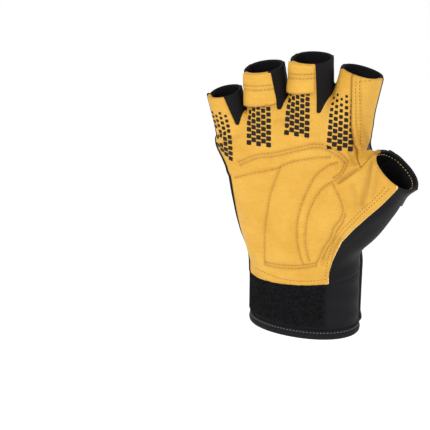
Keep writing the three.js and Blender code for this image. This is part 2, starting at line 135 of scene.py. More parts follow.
def hand_distance(p):
    """How far points are outside the hand, whose levels drop towards the little finger."""
    level = p[:, 2].copy()
    for _ in range(4):
        row = hand_section(level)
        turn = np.radians(row["twist"])
        dx, dy = p[:, 0] - row["x"], p[:, 1] - row["y"]
        across = dx * np.cos(turn) + dy * np.sin(turn)
        deep = dy * np.cos(turn) - dx * np.sin(turn)
        outer = np.clip(-across / row["width"], 0, 1.1) ** 2
        level = p[:, 2] + row["drop"] * outer
    depth = np.where(deep < 0, row["palm"], row["back"])
    side = oval_distance(across, deep, row["width"], depth, row["power"])
    return -soft_min(-side, HAND["z"][-1] - level, FILLETS["hand_top"])


def finger_line(finger):
    """The foot and the mouth of a finger's tube, and the direction from one to the other."""
    foot, mouth = np.array(finger["foot"], float), np.array(finger["mouth"], float)
    return foot, mouth, (mouth - foot) / np.linalg.norm(mouth - foot)


def finger_distance(p, finger):
    """How far points are outside a finger's tube, which is open-ended at its mouth."""
    foot, mouth, axis = finger_line(finger)
    length = np.linalg.norm(mouth - foot)
    flat = np.cross((0, 1, 0), axis)
    flat /= np.linalg.norm(flat)
    deep = np.cross(axis, flat)
    t = (p - foot) @ axis / length
    width = np.interp(t, [0, KNUCKLE, 1], finger["width"])
    depth = np.interp(t, [0, KNUCKLE, 1], finger["depth"])
    side = oval_distance((p - foot) @ flat, (p - foot) @ deep, width, depth, TUBE_POWER)
    return np.maximum(side, -t * length)


def limb_frames(rows):
    """Points along a limb's middle, with its section's two directions at each."""
    s = smooth_curve(rows, 160)
    middle = np.stack([s["x"], s["y"], s["z"]], 1)
    axis = np.gradient(middle, axis=0)
    axis /= np.linalg.norm(axis, axis=1)[:, None]
    flat = np.cross((0, 1, 0), axis)
    flat /= np.linalg.norm(flat, axis=1)[:, None]
    return middle, axis, flat, np.cross(axis, flat), s["width"], s["depth"]


def limb_distance(p, rows, run_on=0):
    """How far points are outside a limb, which may run on past its last row."""
    middle, axis, flat, deep, width, depth = limb_frames(rows)
    near = np.zeros(len(p), int)
    best = np.full(len(p), np.inf)
    for k, point in enumerate(middle):
        d = ((p - point) ** 2).sum(1)
        closer = d < best
        near[closer], best[closer] = k, d[closer]
    v = p - middle[near]
    across, inward, along = [(v * way[near]).sum(1) for way in (flat, deep, axis)]
    side = oval_distance(across, inward, width[near], depth[near], TUBE_POWER)
    past = np.where(near == len(middle) - 1, along, -5)
    before = np.where(near == 0, -along, -5)
    return np.maximum(np.maximum(side, before), past - run_on)


def last_distance(p):
    """How far points are outside the last. Each limb is measured only where it can reach."""
    d = hand_distance(p)
    for rows, run_on, fillet, left, foot in (
        (THUMB, THUMB_RUN_ON, FILLETS["thumb"], -2, 30),
        (WEB, 0, FILLETS["web"], -4, 60),
    ):
        near = (p[:, 0] > left) & (p[:, 2] > foot) & (p[:, 2] < 128)
        d[near] = soft_min(d[near], limb_distance(p[near], rows, run_on), fillet)
    tubes = []
    for finger in FINGERS.values():
        x0, x1 = sorted((finger["foot"][0], finger["mouth"][0]))
        near = (p[:, 0] > x0 - 22) & (p[:, 0] < x1 + 22) & (p[:, 2] > finger["foot"][2] - 12)
        tube = np.full(len(p), 40.0)
        tube[near] = finger_distance(p[near], finger)
        tubes.append(tube)
    fingers = tubes[0]
    for tube in tubes[1:]:
        fingers = soft_min(fingers, tube, FILLETS["fingers"])
    return soft_min(d, fingers, FILLETS["roots"])


CELL_CORNERS = [(i, j, k) for i in (0, 1) for j in (0, 1) for k in (0, 1)]


def surface_net(values, low, step):
    """A mesh of quads on the zero level of a grid of distances, one corner in each cell that it crosses."""
    cells = tuple(n - 1 for n in values.shape)

    def at(grid, c):
        return grid[c[0]:c[0] + cells[0], c[1]:c[1] + cells[1], c[2]:c[2] + cells[2]]

    inside = values < 0
    total, count = np.zeros(cells + (3,)), np.zeros(cells)
    for a in CELL_CORNERS:
        for axis in range(3):
            if a[axis]:
                continue
            b = tuple(v + (n == axis) for n, v in enumerate(a))
            va, vb = at(values, a), at(values, b)
            crossed = at(inside, a) != at(inside, b)
            t = np.where(crossed, va / np.where(crossed, va - vb, 1), 0)
            point = np.stack([a[n] + (t if n == axis else 0) * np.ones(cells) for n in range(3)], -1)
            total[crossed] += point[crossed]
            count[crossed] += 1
    used = count > 0
    number = np.full(cells, -1)
    number[used] = np.arange(used.sum())
    place = total[used] / count[used][:, None] + np.argwhere(used)
    quads = []
    for axis in range(3):
        u, v = [n for n in range(3) if n != axis]
        first = [slice(1, -1)] * 3
        first[axis] = slice(0, -1)
        second = list(first)
        second[axis] = slice(1, None)
        a, b = inside[tuple(first)], inside[tuple(second)]
        where = np.argwhere(a != b)
        outward = a[a != b]
        where[:, [u, v]] += 1
        four = []
        for du, dv in ((0, 0), (1, 0), (1, 1), (0, 1)):
            c = where.copy()
            c[:, u] -= du
            c[:, v] -= dv
            four.append(number[tuple(c.T)])
        four = np.stack(four, 1)
        flip = outward if axis == 1 else ~outward
        four[flip] = four[flip][:, ::-1]
        quads.append(four)
    return low + step * place, np.concatenate(quads)


def sampled(grid, p, step=GRID):
    """Values of a grid between its points."""
    q = (p - GRID_LOW) / step
    k = np.clip(q.astype(int), 0, np.array(grid.shape[:3]) - 2)
    f = q - k
    total = 0
    for i, j, m in CELL_CORNERS:
        w = (f[:, 0] if i else 1 - f[:, 0]) * (f[:, 1] if j else 1 - f[:, 1])
        w = w * (f[:, 2] if m else 1 - f[:, 2])
        g = grid[k[:, 0] + i, k[:, 1] + j, k[:, 2] + m]
        total = total + (w if g.ndim == 1 else w[:, None]) * g
    return total


def grid_of(step, reach):
    """The points of a grid round the whole last, which may reach past it."""
    axes = [np.arange(lo, hi + reach, step) for lo, hi in zip(GRID_LOW, GRID_HIGH)]
    return np.stack(np.meshgrid(*axes, indexing="ij"), -1)


# The last is measured coarsely everywhere, and finely where its surface passes.
coarse_points = grid_of(COARSE, COARSE)
coarse = last_distance(coarse_points.reshape(-1, 3)).reshape(coarse_points.shape[:3])
grid_points = grid_of(GRID, 0)
depths = sampled(coarse, grid_points.reshape(-1, 3), COARSE)
close = np.abs(depths) < 1.8 * COARSE
depths[close] = last_distance(grid_points.reshape(-1, 3)[close])
depths = depths.reshape(grid_points.shape[:3])
slopes = np.stack(np.gradient(depths, GRID), -1)
last_points, last_quads = surface_net(depths, GRID_LOW, GRID)
for _ in range(2):
    g = sampled(slopes, last_points)
    last_points = last_points - (sampled(depths, last_points) / np.maximum((g ** 2).sum(1), 0.2))[:, None] * g
last = (last_points, np.concatenate([last_quads[:, [0, 1, 2]], last_quads[:, [0, 2, 3]]]))


def normals_at(p):
    """The direction out of the last at each point."""
    g = sampled(slopes, p)
    return g / np.maximum(np.linalg.norm(g, axis=1), 1e-6)[:, None]


def onto_last(p, rounds):
    """The points drawn to the surface of the last."""
    for _ in range(rounds):
        p = p - sampled(depths, p)[:, None] * normals_at(p)
    return p


def cut(sheet, field):
    """The part of a sheet of triangles where the field is positive, trimmed clean along its zero line."""
    points, tris = sheet
    f = np.asarray(field(points), float)
    sliver = 0.02
    f[np.abs(f) < sliver] = sliver
    keep = f > 0
    n = keep[tris].sum(1)
    parts = [tris[n == 3]]
    mixed = tris[(n == 1) | (n == 2)]
    if len(mixed):
        k = keep[mixed]
        odd = np.where(k.sum(1) == 1, k.argmax(1), (~k).argmax(1))
        rows = np.arange(len(mixed))
        a, b, c = mixed[rows, odd], mixed[rows, (odd + 1) % 3], mixed[rows, (odd + 2) % 3]
        pairs = np.sort(np.concatenate([np.stack([a, b], 1), np.stack([a, c], 1)]), axis=1)
        unique, back = np.unique(pairs, axis=0, return_inverse=True)
        back = back.reshape(-1)
        t = f[unique[:, 0]] / (f[unique[:, 0]] - f[unique[:, 1]])
        made = points[unique[:, 0]] + t[:, None] * (points[unique[:, 1]] - points[unique[:, 0]])
        ab, ac = len(points) + back[:len(mixed)], len(points) + back[len(mixed):]
        single = keep[a]
        parts.append(np.stack([a, ab, ac], 1)[single])
        parts.append(np.stack([b, c, ab], 1)[~single])
        parts.append(np.stack([c, ac, ab], 1)[~single])
        points = np.concatenate([points, made])
    tris = np.concatenate(parts)
    used, back = np.unique(tris, return_inverse=True)
    return points[used], back.reshape(tris.shape)


# The viewpoint
# The glove is seen from in front and a little above, from the thumb side. Marks that were read off this
# view, or off one of the back, are carried along the line of sight onto the last.
FRAME_WIDTH = 430
FRONT = {"turn": 28, "rise": 19, "distance": 1000, "scale": 1.70, "origin": (304, 322.5)}
BACK = {"turn": 184, "rise": 12, "distance": 1000, "scale": 1.60, "origin": (127, 368)}


def view_axes(view):
    """A view's right, up and backward directions, and the place that it is seen from, in mm."""
    a, e = math.radians(view["turn"]), math.radians(view["rise"])
    right = Vector((math.cos(a), math.sin(a), 0))
    up = Vector((-math.sin(a) * math.sin(e), math.cos(a) * math.sin(e), math.cos(e)))
    back = Vector((math.sin(a) * math.cos(e), -math.cos(a) * math.cos(e), math.sin(e)))
    x, y = [(c - FRAME_WIDTH / 2) / view["scale"] for c in view["origin"]]
    return right, up, back, back * view["distance"] - right * x + up * y


right, up, back, eye = view_axes(FRONT)
lens = bpy.data.cameras.new("viewpoint")
lens.sensor_width = 36
lens.lens = FRONT["scale"] * FRONT["distance"] * lens.sensor_width / FRAME_WIDTH
lens.clip_end = 50
camera = bpy.data.objects.new("viewpoint", lens)
camera.matrix_world = Matrix.Translation(eye * MM) @ Matrix((right, up, back)).transposed().to_4x4()
bpy.context.scene.collection.objects.link(camera)
bpy.context.scene.camera = camera


# Back panel
# One piece of grey stretch knit covers the back of the hand and of the four fingers. It is seamed to
# the leather along the little-finger side, and its slots between the fingers take the fourchettes.
CUFF_TOP, CUFF_TILT = 34.5, (0.09, 0.11)
FABRIC_WALL, SEAM_LAP, WEDGE_LAP = 1.8, 1.5, 0.8
# These outlines are x and z. A fourchette is a V in front, and takes a round slot in the back panel.
BACK_EDGE = [(28.5, 20), (31, 50), (35, 74), (37.5, 95), (39, 103), (60, 103), (60, 175)]
SLIT = [(17.5, -10), (28.4, -10), (28.8, 30), (30, 43), (29.4, 47), (27, 48.8), (24, 47.4), (21.2, 43),
        (19.4, 37.5), (18.2, 30), (23, 9), (23, 5.5), (21, 1.8), (17.5, -0.2)]
WEDGES = {
    "pinky_ring_fourchette": {"between": ("little", "ring"), "foot": (-32.5, 122.5), "left": (-40, 142),
                              "right": (-27.6, 158), "slot_foot": (-30.5, 123.5), "slot_top": (-31.5, 158)},
    "ring_middle_fourchette": {"between": ("ring", "middle"), "foot": (-8.3, 133.7), "left": (-14.2, 160),
                               "right": (-1.2, 166), "slot_foot": (-7, 134), "slot_top": (-6.8, 166)},
    "middle_index_fourchette": {"between": ("middle", "index"), "foot": (13.8, 133.3), "left": (12.4, 166),
                                "right": (24, 160), "slot_foot": (17.4, 135.1), "slot_top": (19, 166)},
}
SLOT_HALF_WIDTH, SLOT_TOP_HALF_WIDTH, WEDGE_TIP_RADIUS = 2.5, 0.8, 1.5
SIDE_FRONT, SIDE_BACK, SIDE_BACK_TOP = 3.0, 5.5, 2.5
SEAM_DEPTH, FINGER_SEAM_DEPTH = 0.49, 0.4


def smooth_step(v, low, high):
    """Nothing below `low` and one above `high`, with a smooth rise between them."""
    t = np.clip((v - low) / (high - low), 0, 1)
    return t * t * (3 - 2 * t)


def within(p, outline):
    """How far points are inside a closed outline of x and z, and negative outside it."""
    x, z = p[:, 0], p[:, 2]
    near = np.full(len(p), np.inf)
    inside = np.zeros(len(p), bool)
    for (x0, z0), (x1, z1) in zip(outline, outline[1:] + outline[:1]):
        dx, dz = x1 - x0, z1 - z0
        t = np.clip(((x - x0) * dx + (z - z0) * dz) / (dx * dx + dz * dz), 0, 1)
        near = np.minimum(near, np.hypot(x - x0 - t * dx, z - z0 - t * dz))
        if z0 != z1:
            inside ^= ((z0 > z) != (z1 > z)) & (x < x0 + dx * (z - z0) / dz)
    return np.where(inside, near, -near)


def side_seam(p):
    """How far a point is towards the palm of the seam that runs round the edge of the glove."""
    x, y, z = p.T
    row = hand_section(np.clip(z, 0, HAND["z"][-1]))
    little = FINGERS["little"]
    (_, foot_y, foot_z), (_, mouth_y, mouth_z) = little["foot"], little["mouth"]
    rise = np.clip((z - foot_z) / (mouth_z - foot_z), 0, 1.2)
    finger_edge = foot_y + rise * (mouth_y - foot_y) - FINGER_SEAM_DEPTH * little["depth"][0]
    palm_edge = row["y"] - row["width"] * np.sin(np.radians(row["twist"])) - SEAM_DEPTH * row["palm"]
    outer = palm_edge + (finger_edge - palm_edge) * smooth_step(z, 100, 122)
    up = smooth_step(z, 100, 125)
    web, crotch = smooth_step(z, 110, 119), smooth_step(z, 117, 122)
    # From the little-finger side to the thumb side, the seam lies at these depths and shifts up the hand.
    knots = [-90, -36, -20, 5, 28, 35, 41, 46, 50, 90]
    heights = [outer, outer, -6 - 7 * up, -3 - 4 * up, 0 * z, -4 + 6 * web, -5 + 7 * web, -10 + 12 * crotch,
               -12 + 14 * crotch, -12 + 0 * z]
    seam = heights[-1].copy()
    for k in range(len(knots) - 1):
        here = (x >= knots[k]) & (x < knots[k + 1])
        t = (x - knots[k]) / (knots[k + 1] - knots[k])
        seam[here] = ((1 - t) * heights[k] + t * heights[k + 1])[here]
    return seam - y


def above_cuff(p):
    """How far points are above the seam that joins the cuff to the hand."""
    return p[:, 2] - CUFF_TOP - CUFF_TILT[0] * p[:, 0] - CUFF_TILT[1] * p[:, 1]


def below_mouths(p):
    """Positive below the finger and thumb mouths, each measured along its own tube."""
    f = np.full(len(p), 30.0)
    closest = np.full(len(p), np.inf)
    for finger in FINGERS.values():
        _, mouth, axis = finger_line(finger)
        flat = np.cross((0, 1, 0), axis)
        slant = math.radians(finger["slant"])
        v = p - mouth
        off = np.linalg.norm(v - (v @ axis)[:, None] * axis, axis=1)
        here = (off < closest) & (v @ axis > -25)
        closest[here] = off[here]
        f[here] = -(v @ (axis * math.cos(slant) - flat * math.sin(slant)))[here]
    middle, axis, *_ = limb_frames(THUMB)
    v = p - middle[-1]
    along = v @ axis[-1]
    off = np.linalg.norm(v - along[:, None] * axis[-1], axis=1)
    here = (off < 22) & (along > -12) & (p[:, 2] < 124)
    f[here] = -along[here]
    return f


def in_wedge(p, w):
    """Positive on the fourchette between two fingers: a V in front, a slot behind, and the sides between."""
    x, y, z = p.T
    fx, fz = w["foot"]
    (lx, lz), (rx, rz) = w["left"], w["right"]
    round_tip = [(fx + WEDGE_TIP_RADIUS * math.cos(a), fz + WEDGE_TIP_RADIUS * (0.6 + math.sin(a)))
                 for a in np.linspace(1.08 * math.pi, 1.92 * math.pi, 9)]
    front = round_tip + [(rx, rz), (lx, rz + 10), (lx, lz)]
    sx, sz = w["slot_foot"]
    round_foot = [(sx + SLOT_HALF_WIDTH * math.cos(a), sz + SLOT_HALF_WIDTH * (1 + math.sin(a)))
                  for a in np.linspace(math.pi, 2 * math.pi, 13)]
    tx, tz = w["slot_top"]
    slot = round_foot + [(tx + SLOT_TOP_HALF_WIDTH, tz), (tx + SLOT_TOP_HALF_WIDTH, tz + 20),
                         (tx - SLOT_TOP_HALF_WIDTH, tz + 20), (tx - SLOT_TOP_HALF_WIDTH, tz)]
    # The two fingers' middles, a little above half their length, part the wedge's sides.
    a, b = [0.4 * np.array(FINGERS[n]["foot"]) + 0.6 * np.array(FINGERS[n]["mouth"]) for n in w["between"]]
    split = (a[1] + b[1]) / 2
    line = a[1] + (b[1] - a[1]) * (x - a[0]) / (b[0] - a[0])
    middle = (a[0] + b[0]) / 2
    own_depth = a[1] + (b[1] - a[1]) * smooth_step(x, middle - 2.5, middle + 2.5)
    behind = own_depth + SIDE_BACK + (SIDE_BACK_TOP - SIDE_BACK) * smooth_step(z, fz + 4, fz + 22)
    sides = np.minimum.reduce([x - a[0], b[0] - x, y - line + SIDE_FRONT, behind - y, z - fz + 1.5])
    return np.maximum.reduce([
        np.minimum(within(p, front), split - y + 0.1),
        np.minimum(within(p, slot), y - split + 0.1),
        sides,
    ])


def beside_slit(p):
    """Positive outside the arched slit in the back of the cuff."""
    return -np.minimum(within(p, SLIT), p[:, 1] - 3)


def limb_room(p, rows):
    """How far points near the thumb are outside one of its limbs."""
    near = (p[:, 0] > 8) & (p[:, 2] > 30) & (p[:, 2] < 130)
    room = np.full(len(p), 30.0)
    room[near] = limb_distance(p[near], rows, THUMB_RUN_ON)
    return room


whole_glove = cut(last, below_mouths)
glove_surface = BVHTree.FromPolygons([Vector(p) for p in whole_glove[0]], whole_glove[1].tolist())
trimmed = cut(whole_glove, above_cuff)


def without_wedges(sheet, lap=0.0):
    """The sheet with the fourchettes cut out of it, but for a lap under their seams."""
    for w in WEDGES.values():
        sheet = cut(sheet, lambda p: lap - in_wedge(p, w))
    return sheet


def on_back(p):
    """Positive on the back panel, which leaves the back of the thumb and of its web free."""
    x, y, z = p.T
    area = within(p, [(-70, 10)] + BACK_EDGE + [(-70, 175)])
    fork = np.minimum(limb_room(p, THUMB), limb_room(p, WEB)) - 1.5
    behind = y + 12 * smooth_step(z, 100, 104)
    beside_thumb = fork + np.maximum(0, 40 - x) + 4 * np.maximum(0, z - 116)
    thumb_side = np.minimum.reduce([area, behind, beside_thumb])
    return np.maximum(thumb_side, np.minimum(20 - x, 30))


sewn_back = without_wedges(cut(trimmed, lambda p: SEAM_LAP - side_seam(p)), WEDGE_LAP)
back_sheet = cut(cut(sewn_back, on_back), beside_slit)


def node(tree, kind, inputs=(), **settings):
    """Adds a shader or geometry node, with its settings, and its inputs as values or links."""
    made = tree.nodes.new(kind)
    for name, value in settings.items():
        setattr(made, name, value)
    for name, value in dict(inputs).items():
        if isinstance(value, bpy.types.NodeSocket):
            tree.links.new(value, made.inputs[name])
        else:
            made.inputs[name].default_value = value
    return made


def hex_colour(code):
    """An sRGB hex colour as linear light."""
    rgb = [int(code[k:k + 2], 16) / 255 for k in (0, 2, 4)]
    return [c / 12.92 if c <= 0.04045 else ((c + 0.055) / 1.055) ** 2.4 for c in rgb] + [1.0]


def new_material(name):
    """A material with its tree and its shader."""
    material = bpy.data.materials.new(name)
    material.use_nodes = True
    tree = material.node_tree
    return material, tree, tree.nodes["Principled BSDF"]


# The loops of real jersey are about 0.6 mm wide. They are drawn about twice as coarse, so that they show,
# with a nap of fibres between them and a cloudy dye.
WALE, COURSE, FIBRE, DYE_CLOUD = 1.5 * MM, 1.2 * MM, 0.7143 * MM, 29.4 * MM


def stretch_knit(name, dark, light, roughness, gloss):
    """Knitted nylon jersey: rows of small V loops with a dull nap and cloudy dye, with painted shade mixing
    its seam grooves toward near-black."""
    material, tree, skin = new_material(name)
    place = node(tree, "ShaderNodeTexCoord").outputs["Object"]
    axes = node(tree, "ShaderNodeSeparateXYZ", {"Vector": place}).outputs
    across = node(tree, "ShaderNodeMath", {0: axes["X"], 1: axes["Y"]}, operation="ADD").outputs[0]
    chevron = node(tree, "ShaderNodeMath", {0: across, 1: WALE / 2}, operation="PINGPONG").outputs[0]
    row = node(tree, "ShaderNodeMath", {0: chevron, 1: 0.9, 2: axes["Z"]},
               operation="MULTIPLY_ADD").outputs[0]
    turn = node(tree, "ShaderNodeMath", {0: row, 1: 2 * math.pi / COURSE}, operation="MULTIPLY").outputs[0]
    loops = node(tree, "ShaderNodeMath", {0: turn}, operation="SINE").outputs[0]
    cloud = node(tree, "ShaderNodeTexNoise", {
        "Vector": place, "Scale": 1 / DYE_CLOUD, "Detail": 4}).outputs["Fac"]
    fuzz = node(tree, "ShaderNodeTexNoise", {"Vector": place, "Scale": 1 / FIBRE, "Detail": 2}).outputs["Fac"]
    height = node(tree, "ShaderNodeMath", {0: fuzz, 1: 2.0, 2: loops}, operation="MULTIPLY_ADD").outputs[0]
    bump = node(tree, "ShaderNodeBump", {"Height": height, "Strength": 0.35, "Distance": 0.12 * MM})
    tone = node(tree, "ShaderNodeMix", {"Factor": cloud, "A": hex_colour(dark), "B": hex_colour(light)},
                data_type="RGBA")
    # The panel's kept shade is painted shade: it mixes the knit toward near-black in seam grooves and folds,
    # and along each slot's welt.
    seam = node(tree, "ShaderNodeAttribute", attribute_name="shade").outputs["Fac"]
    painted_seam_shade = node(tree, "ShaderNodeMath", {0: seam, 1: 0.75}, operation="MULTIPLY").outputs[0]
    dye_and_painted_shade = node(tree, "ShaderNodeMix", {
        "Factor": painted_seam_shade, "A": tone.outputs["Result"], "B": hex_colour("121114")}, data_type="RGBA")
    tree.links.new(dye_and_painted_shade.outputs["Result"], skin.inputs["Base Color"])
    tree.links.new(bump.outputs["Normal"], skin.inputs["Normal"])
    skin.inputs["Roughness"].default_value = roughness
    skin.inputs["Specular IOR Level"].default_value = gloss
    return material


grey_knit = stretch_knit("grey_stretch_knit", "383841", "5D5C68", 0.72, 0.35)
black_knit = stretch_knit("black_stretch_knit", "060609", "0D0C11", 0.7, 0.2)
# The outer face of a panel, its raw edge and its inner face.
grey_cloth, black_cloth = [grey_knit, black_knit, black_knit], [black_knit] * 3


def border_loops(tris):
    """The sheet's open edges as closed loops of point numbers, with the sheet on their left."""
    edges = np.concatenate([tris[:, [0, 1]], tris[:, [1, 2]], tris[:, [2, 0]]])
    size = tris.max() + 1
    key, other = edges[:, 0] * size + edges[:, 1], edges[:, 1] * size + edges[:, 0]
    open_edges = edges[~np.isin(key, other)]
    follow = {}
    for a, b in open_edges:
        follow.setdefault(a, []).append(b)
    loops = []
    while follow:
        start = next(iter(follow))
        loop, here = [], start
        while here in follow:
            loop.append(here)
            nexts = follow[here]
            step = nexts.pop()
            if not nexts:
                del follow[here]
            here = step
            if here == start:
                break
        if len(loop) > 8:
            loops.append(np.array(loop))
    return loops


def main_sheet(sheet):
    """The largest connected piece of a sheet, with crumbs along its edge left out and close points merged."""
    points, tris = sheet
    mesh = bmesh.new()
    corners = [mesh.verts.new(p) for p in points]
    for t in tris:
        try:
            mesh.faces.new([corners[k] for k in t])
        except ValueError:
            pass
    bmesh.ops.remove_doubles(mesh, verts=mesh.verts, dist=0.06)
    mesh.verts.index_update()
    points = np.array([v.co[:] for v in mesh.verts])
    tris = np.array([[v.index for v in f.verts] for f in mesh.faces if len(f.verts) == 3])
    mesh.free()
    group = np.arange(len(points))
    while True:
        low = np.minimum.reduce([group[tris[:, 0]], group[tris[:, 1]], group[tris[:, 2]]])
        new = group.copy()
        for k in range(3):
            np.minimum.at(new, tris[:, k], low)
        new = new[new]
        if (new == group).all():
            break
        group = new
    names, counts = np.unique(group[tris[:, 0]], return_counts=True)
    tris = tris[group[tris[:, 0]] == names[counts.argmax()]]
    used, back = np.unique(tris, return_inverse=True)
    return points[used], back.reshape(tris.shape)


def nearest(points, targets):
    """Which of the targets is nearest to each point, and how far off it is."""
    tree = KDTree(len(targets))
    for k, target in enumerate(targets):
        tree.insert(target, k)
    tree.balance()
    found = np.array([tree.find(p)[1:] for p in points]).reshape(-1, 2)
    return found[:, 0].astype(int), found[:, 1]


def line_distance(p, lines):
    """Distance from each point to the nearest of some lines."""
    return nearest(p, np.concatenate(lines))[1]


def keep_on(mesh, name, values):
    """Keeps a number or a direction at each point of a mesh, where its material or its tree reads it."""
    values = np.asarray(values, np.float32)
    kind, field = ("FLOAT", "value") if values.ndim == 1 else ("FLOAT_VECTOR", "vector")
    mesh.attributes.new(name, kind, "POINT").data.foreach_set(field, values.ravel())


RIM_ANGLES = (0.6, 1.2, 1.94, 2.54)


def panel(name, sheet, materials, top, rounding, relief=None, free_edge=None,
          wall=FABRIC_WALL, thickness=None):
    """A panel of cloth or leather of real thickness: its outer face stands `top` above the last, its inner
    face `wall` below the last or `thickness` below the outer one, and a rounded edge joins them. `relief`
    gives each point's extra rise and how much painted shade it gets in seams and folds, from its place and
    its distance to the edge. The second material shows where `free_edge` is nil, along an edge that is not
    sewn down."""
    points, tris = main_sheet(sheet)
    up = normals_at(points)
    count = len(points)
    loops = border_loops(tris)
    rise, shade = np.full(count, float(top)), np.zeros(count)
    if relief:
        extra, shade = relief(points, line_distance(points, [points[loop] for loop in loops]))
        rise = rise + extra
    under = rise - thickness if thickness else np.full(count, -float(wall))
    rows = [points + rise[:, None] * up, points + under[:, None] * up]
    polygons = tris.tolist() + (tris[:, ::-1] + count).tolist()
    slots = [np.zeros(len(tris), int), np.full(len(tris), 2)]
    shades = [shade, 0 * shade]
    base = 2 * count
    for loop in loops:
        n = up[loop]
        out = np.cross(np.roll(points[loop], -1, 0) - np.roll(points[loop], 1, 0), n)
        out /= np.maximum(np.linalg.norm(out, axis=1), 1e-6)[:, None]
        high, low = rise[loop][:, None], under[loop][:, None]
        middle, half = (high + low) / 2, (high - low) / 2
        rings = [loop]
        for angle in RIM_ANGLES:
            level = middle + half * math.cos(angle)
            rows.append(points[loop] + level * n + rounding * math.sin(angle) * out)
            shades.append(shade[loop])
            rings.append(base + np.arange(len(loop)))
            base += len(loop)
        rings.append(loop + count)
        raw = np.ones(len(loop), int)
        if free_edge:
            raw[np.abs(free_edge(points[loop])) >= 0.5] = 0
        for this, following in zip(rings[:-1], rings[1:]):
            quads = np.stack([this, following, np.roll(following, -1), np.roll(this, -1)], 1)
            polygons += quads.tolist()
            slots.append(raw)
    mesh = bpy.data.meshes.new(name)
    mesh.from_pydata((np.concatenate(rows) * MM).tolist(), [], polygons)
    mesh.polygons.foreach_set("material_index", np.concatenate(slots).astype(np.int32))
    mesh.polygons.foreach_set("use_smooth", np.ones(len(polygons), bool))
    for material in materials:
        mesh.materials.append(material)
    keep_on(mesh, "shade", np.concatenate(shades))
    mesh.update()
    made = bpy.data.objects.new(name, mesh)
    bpy.context.scene.collection.objects.link(made)
    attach(made, "root")
    return made


def ridge(d, at, half_width):
    """A smooth bump of height one along the line at distance `at`."""
    return np.exp(-((d - at) / half_width) ** 2)


WELT, MOUTH_HEM, GROOVE = 2.3, 1.5, 0.6


def slot_rims():
    """The points of the back panel's border that lie on a fourchette."""
    points, tris = main_sheet(back_sheet)
    rim = points[np.concatenate(border_loops(tris))]
    wedge = np.max([in_wedge(rim, w) for w in WEDGES.values()], axis=0)
    return rim[(np.abs(wedge - WEDGE_LAP) < 0.25) & (below_mouths(rim) > 0.3)]


rims = slot_rims()


def back_relief(p, edge):
    """A stitched welt round each slot and a narrow hem at each mouth; low ridges behind the fingers, and a
    soft fold where the panel is gathered into the cuff."""
    slots = line_distance(p, [rims])
    mouths = below_mouths(p)
    groove = np.maximum(ridge(slots, WELT, GROOVE), 0.8 * ridge(mouths, MOUTH_HEM, 0.5) * (slots > 1))
    inside_seam = smooth_step(-side_seam(p), 0.5, 5)
    tendons = sum(ridge(p[:, 0], f["foot"][0] * (0.55 + 0.45 * np.clip(p[:, 2] / 112, 0, 1)), 6.5)
                  for f in FINGERS.values())
    tendons = tendons * smooth_step(p[:, 2], 60, 100) * (1 - smooth_step(p[:, 2], 128, 140))
    fold = 1.1 * ridge(above_cuff(p), 7, 3.4)
    rise = (fold + 1.9 * tendons) * inside_seam + 0.3 * ridge(slots, WELT / 2, 1.0) - 0.5 * groove
    # The shade is painted shade in the welt and hem grooves, and a darker band along each slot's edge.
    return rise, np.maximum(groove, 0.4 * (1 - smooth_step(slots, WELT - 0.4, WELT + 0.2)))


back = panel("back_of_hand", back_sheet, grey_cloth, top=0.0, rounding=0.5, relief=back_relief)
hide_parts("back_panel")


# Thumb side panel and thumb back
# The side panel runs from the cuff up the thumb side to the lap behind the thumb. Above the lap the
# thumb's own back piece goes on to the mouth, with its lower edge laid over and double stitched.
LEATHER_EDGE = [(22.5, 30), (22.3, 42), (24.6, 49), (27.6, 55), (32.4, 63.5), (40.6, 73), (49.6, 82.5),
                (56, 89), (72, 108)]
LAP, LAP_TOP, LAP_ROWS, INNER_SIDE, OUTER_SIDE = 0.6, 0.6, (1.5, 3.1), 0.74, 3.0
UNDER_PANEL, UNDER_LAP = 1.0, 1.2
TURN_SLOPE, TURN_DEPTH = 0.28, 17.3


def in_leather(p):
    """How far points are inside the cut edge of the leather, at the thumb side."""
    return within(p, LEATHER_EDGE + [(72, 180), (-70, 180), (-70, 20), (22.5, 20)])


def behind_thumb(p):
    """Positive on the thumb's back piece: above its waved lap, between its outer and its inner side."""
    middle, axis, flat, deep, width, _ = limb_frames(THUMB)
    near, _ = nearest(p, middle)
    lap = int(round(LAP * (len(middle) - 1)))
    v = p - middle[lap]
    above = v @ axis[lap] + 1.2 * np.sin((v @ flat[lap]) / 3.2)
    inner = ((p - middle[near]) * flat[near]).sum(1) + INNER_SIDE * width[near]
    outer = ((p - middle[near]) * deep[near]).sum(1) - OUTER_SIDE
    return np.minimum.reduce([above, inner, outer, p[:, 0] - 30])


def side_relief(p, edge):
    """A narrow drawn-in seam along the edges, and slack folds below the thumb."""
    groove = ridge(edge, 0, GROOVE)
    slack = np.sin((p @ np.array([0.62, 0.1, -0.78])) * 0.5) * smooth_step(edge, 2, 8)
    # The seam groove along the edges gets painted shade.
    return 0.3 * slack - 0.25 * groove, 0.8 * groove


def lap_relief(p, edge):
    """The turned lower edge stands up, with two sewn rows inside it."""
    inside = behind_thumb(p)
    rows = np.maximum(ridge(inside, LAP_ROWS[0], 0.5), ridge(inside, LAP_ROWS[1], 0.5))
    # The two sunk rows get painted shade.
    return 0.3 * ridge(inside, 1.0, 1.2) - 0.2 * rows, 0.5 * rows


def faces_back(p):
    """Positive on the part of the thumb side that is turned towards the back of the hand."""
    return p[:, 1] + TURN_SLOPE * p[:, 2] - TURN_DEPTH


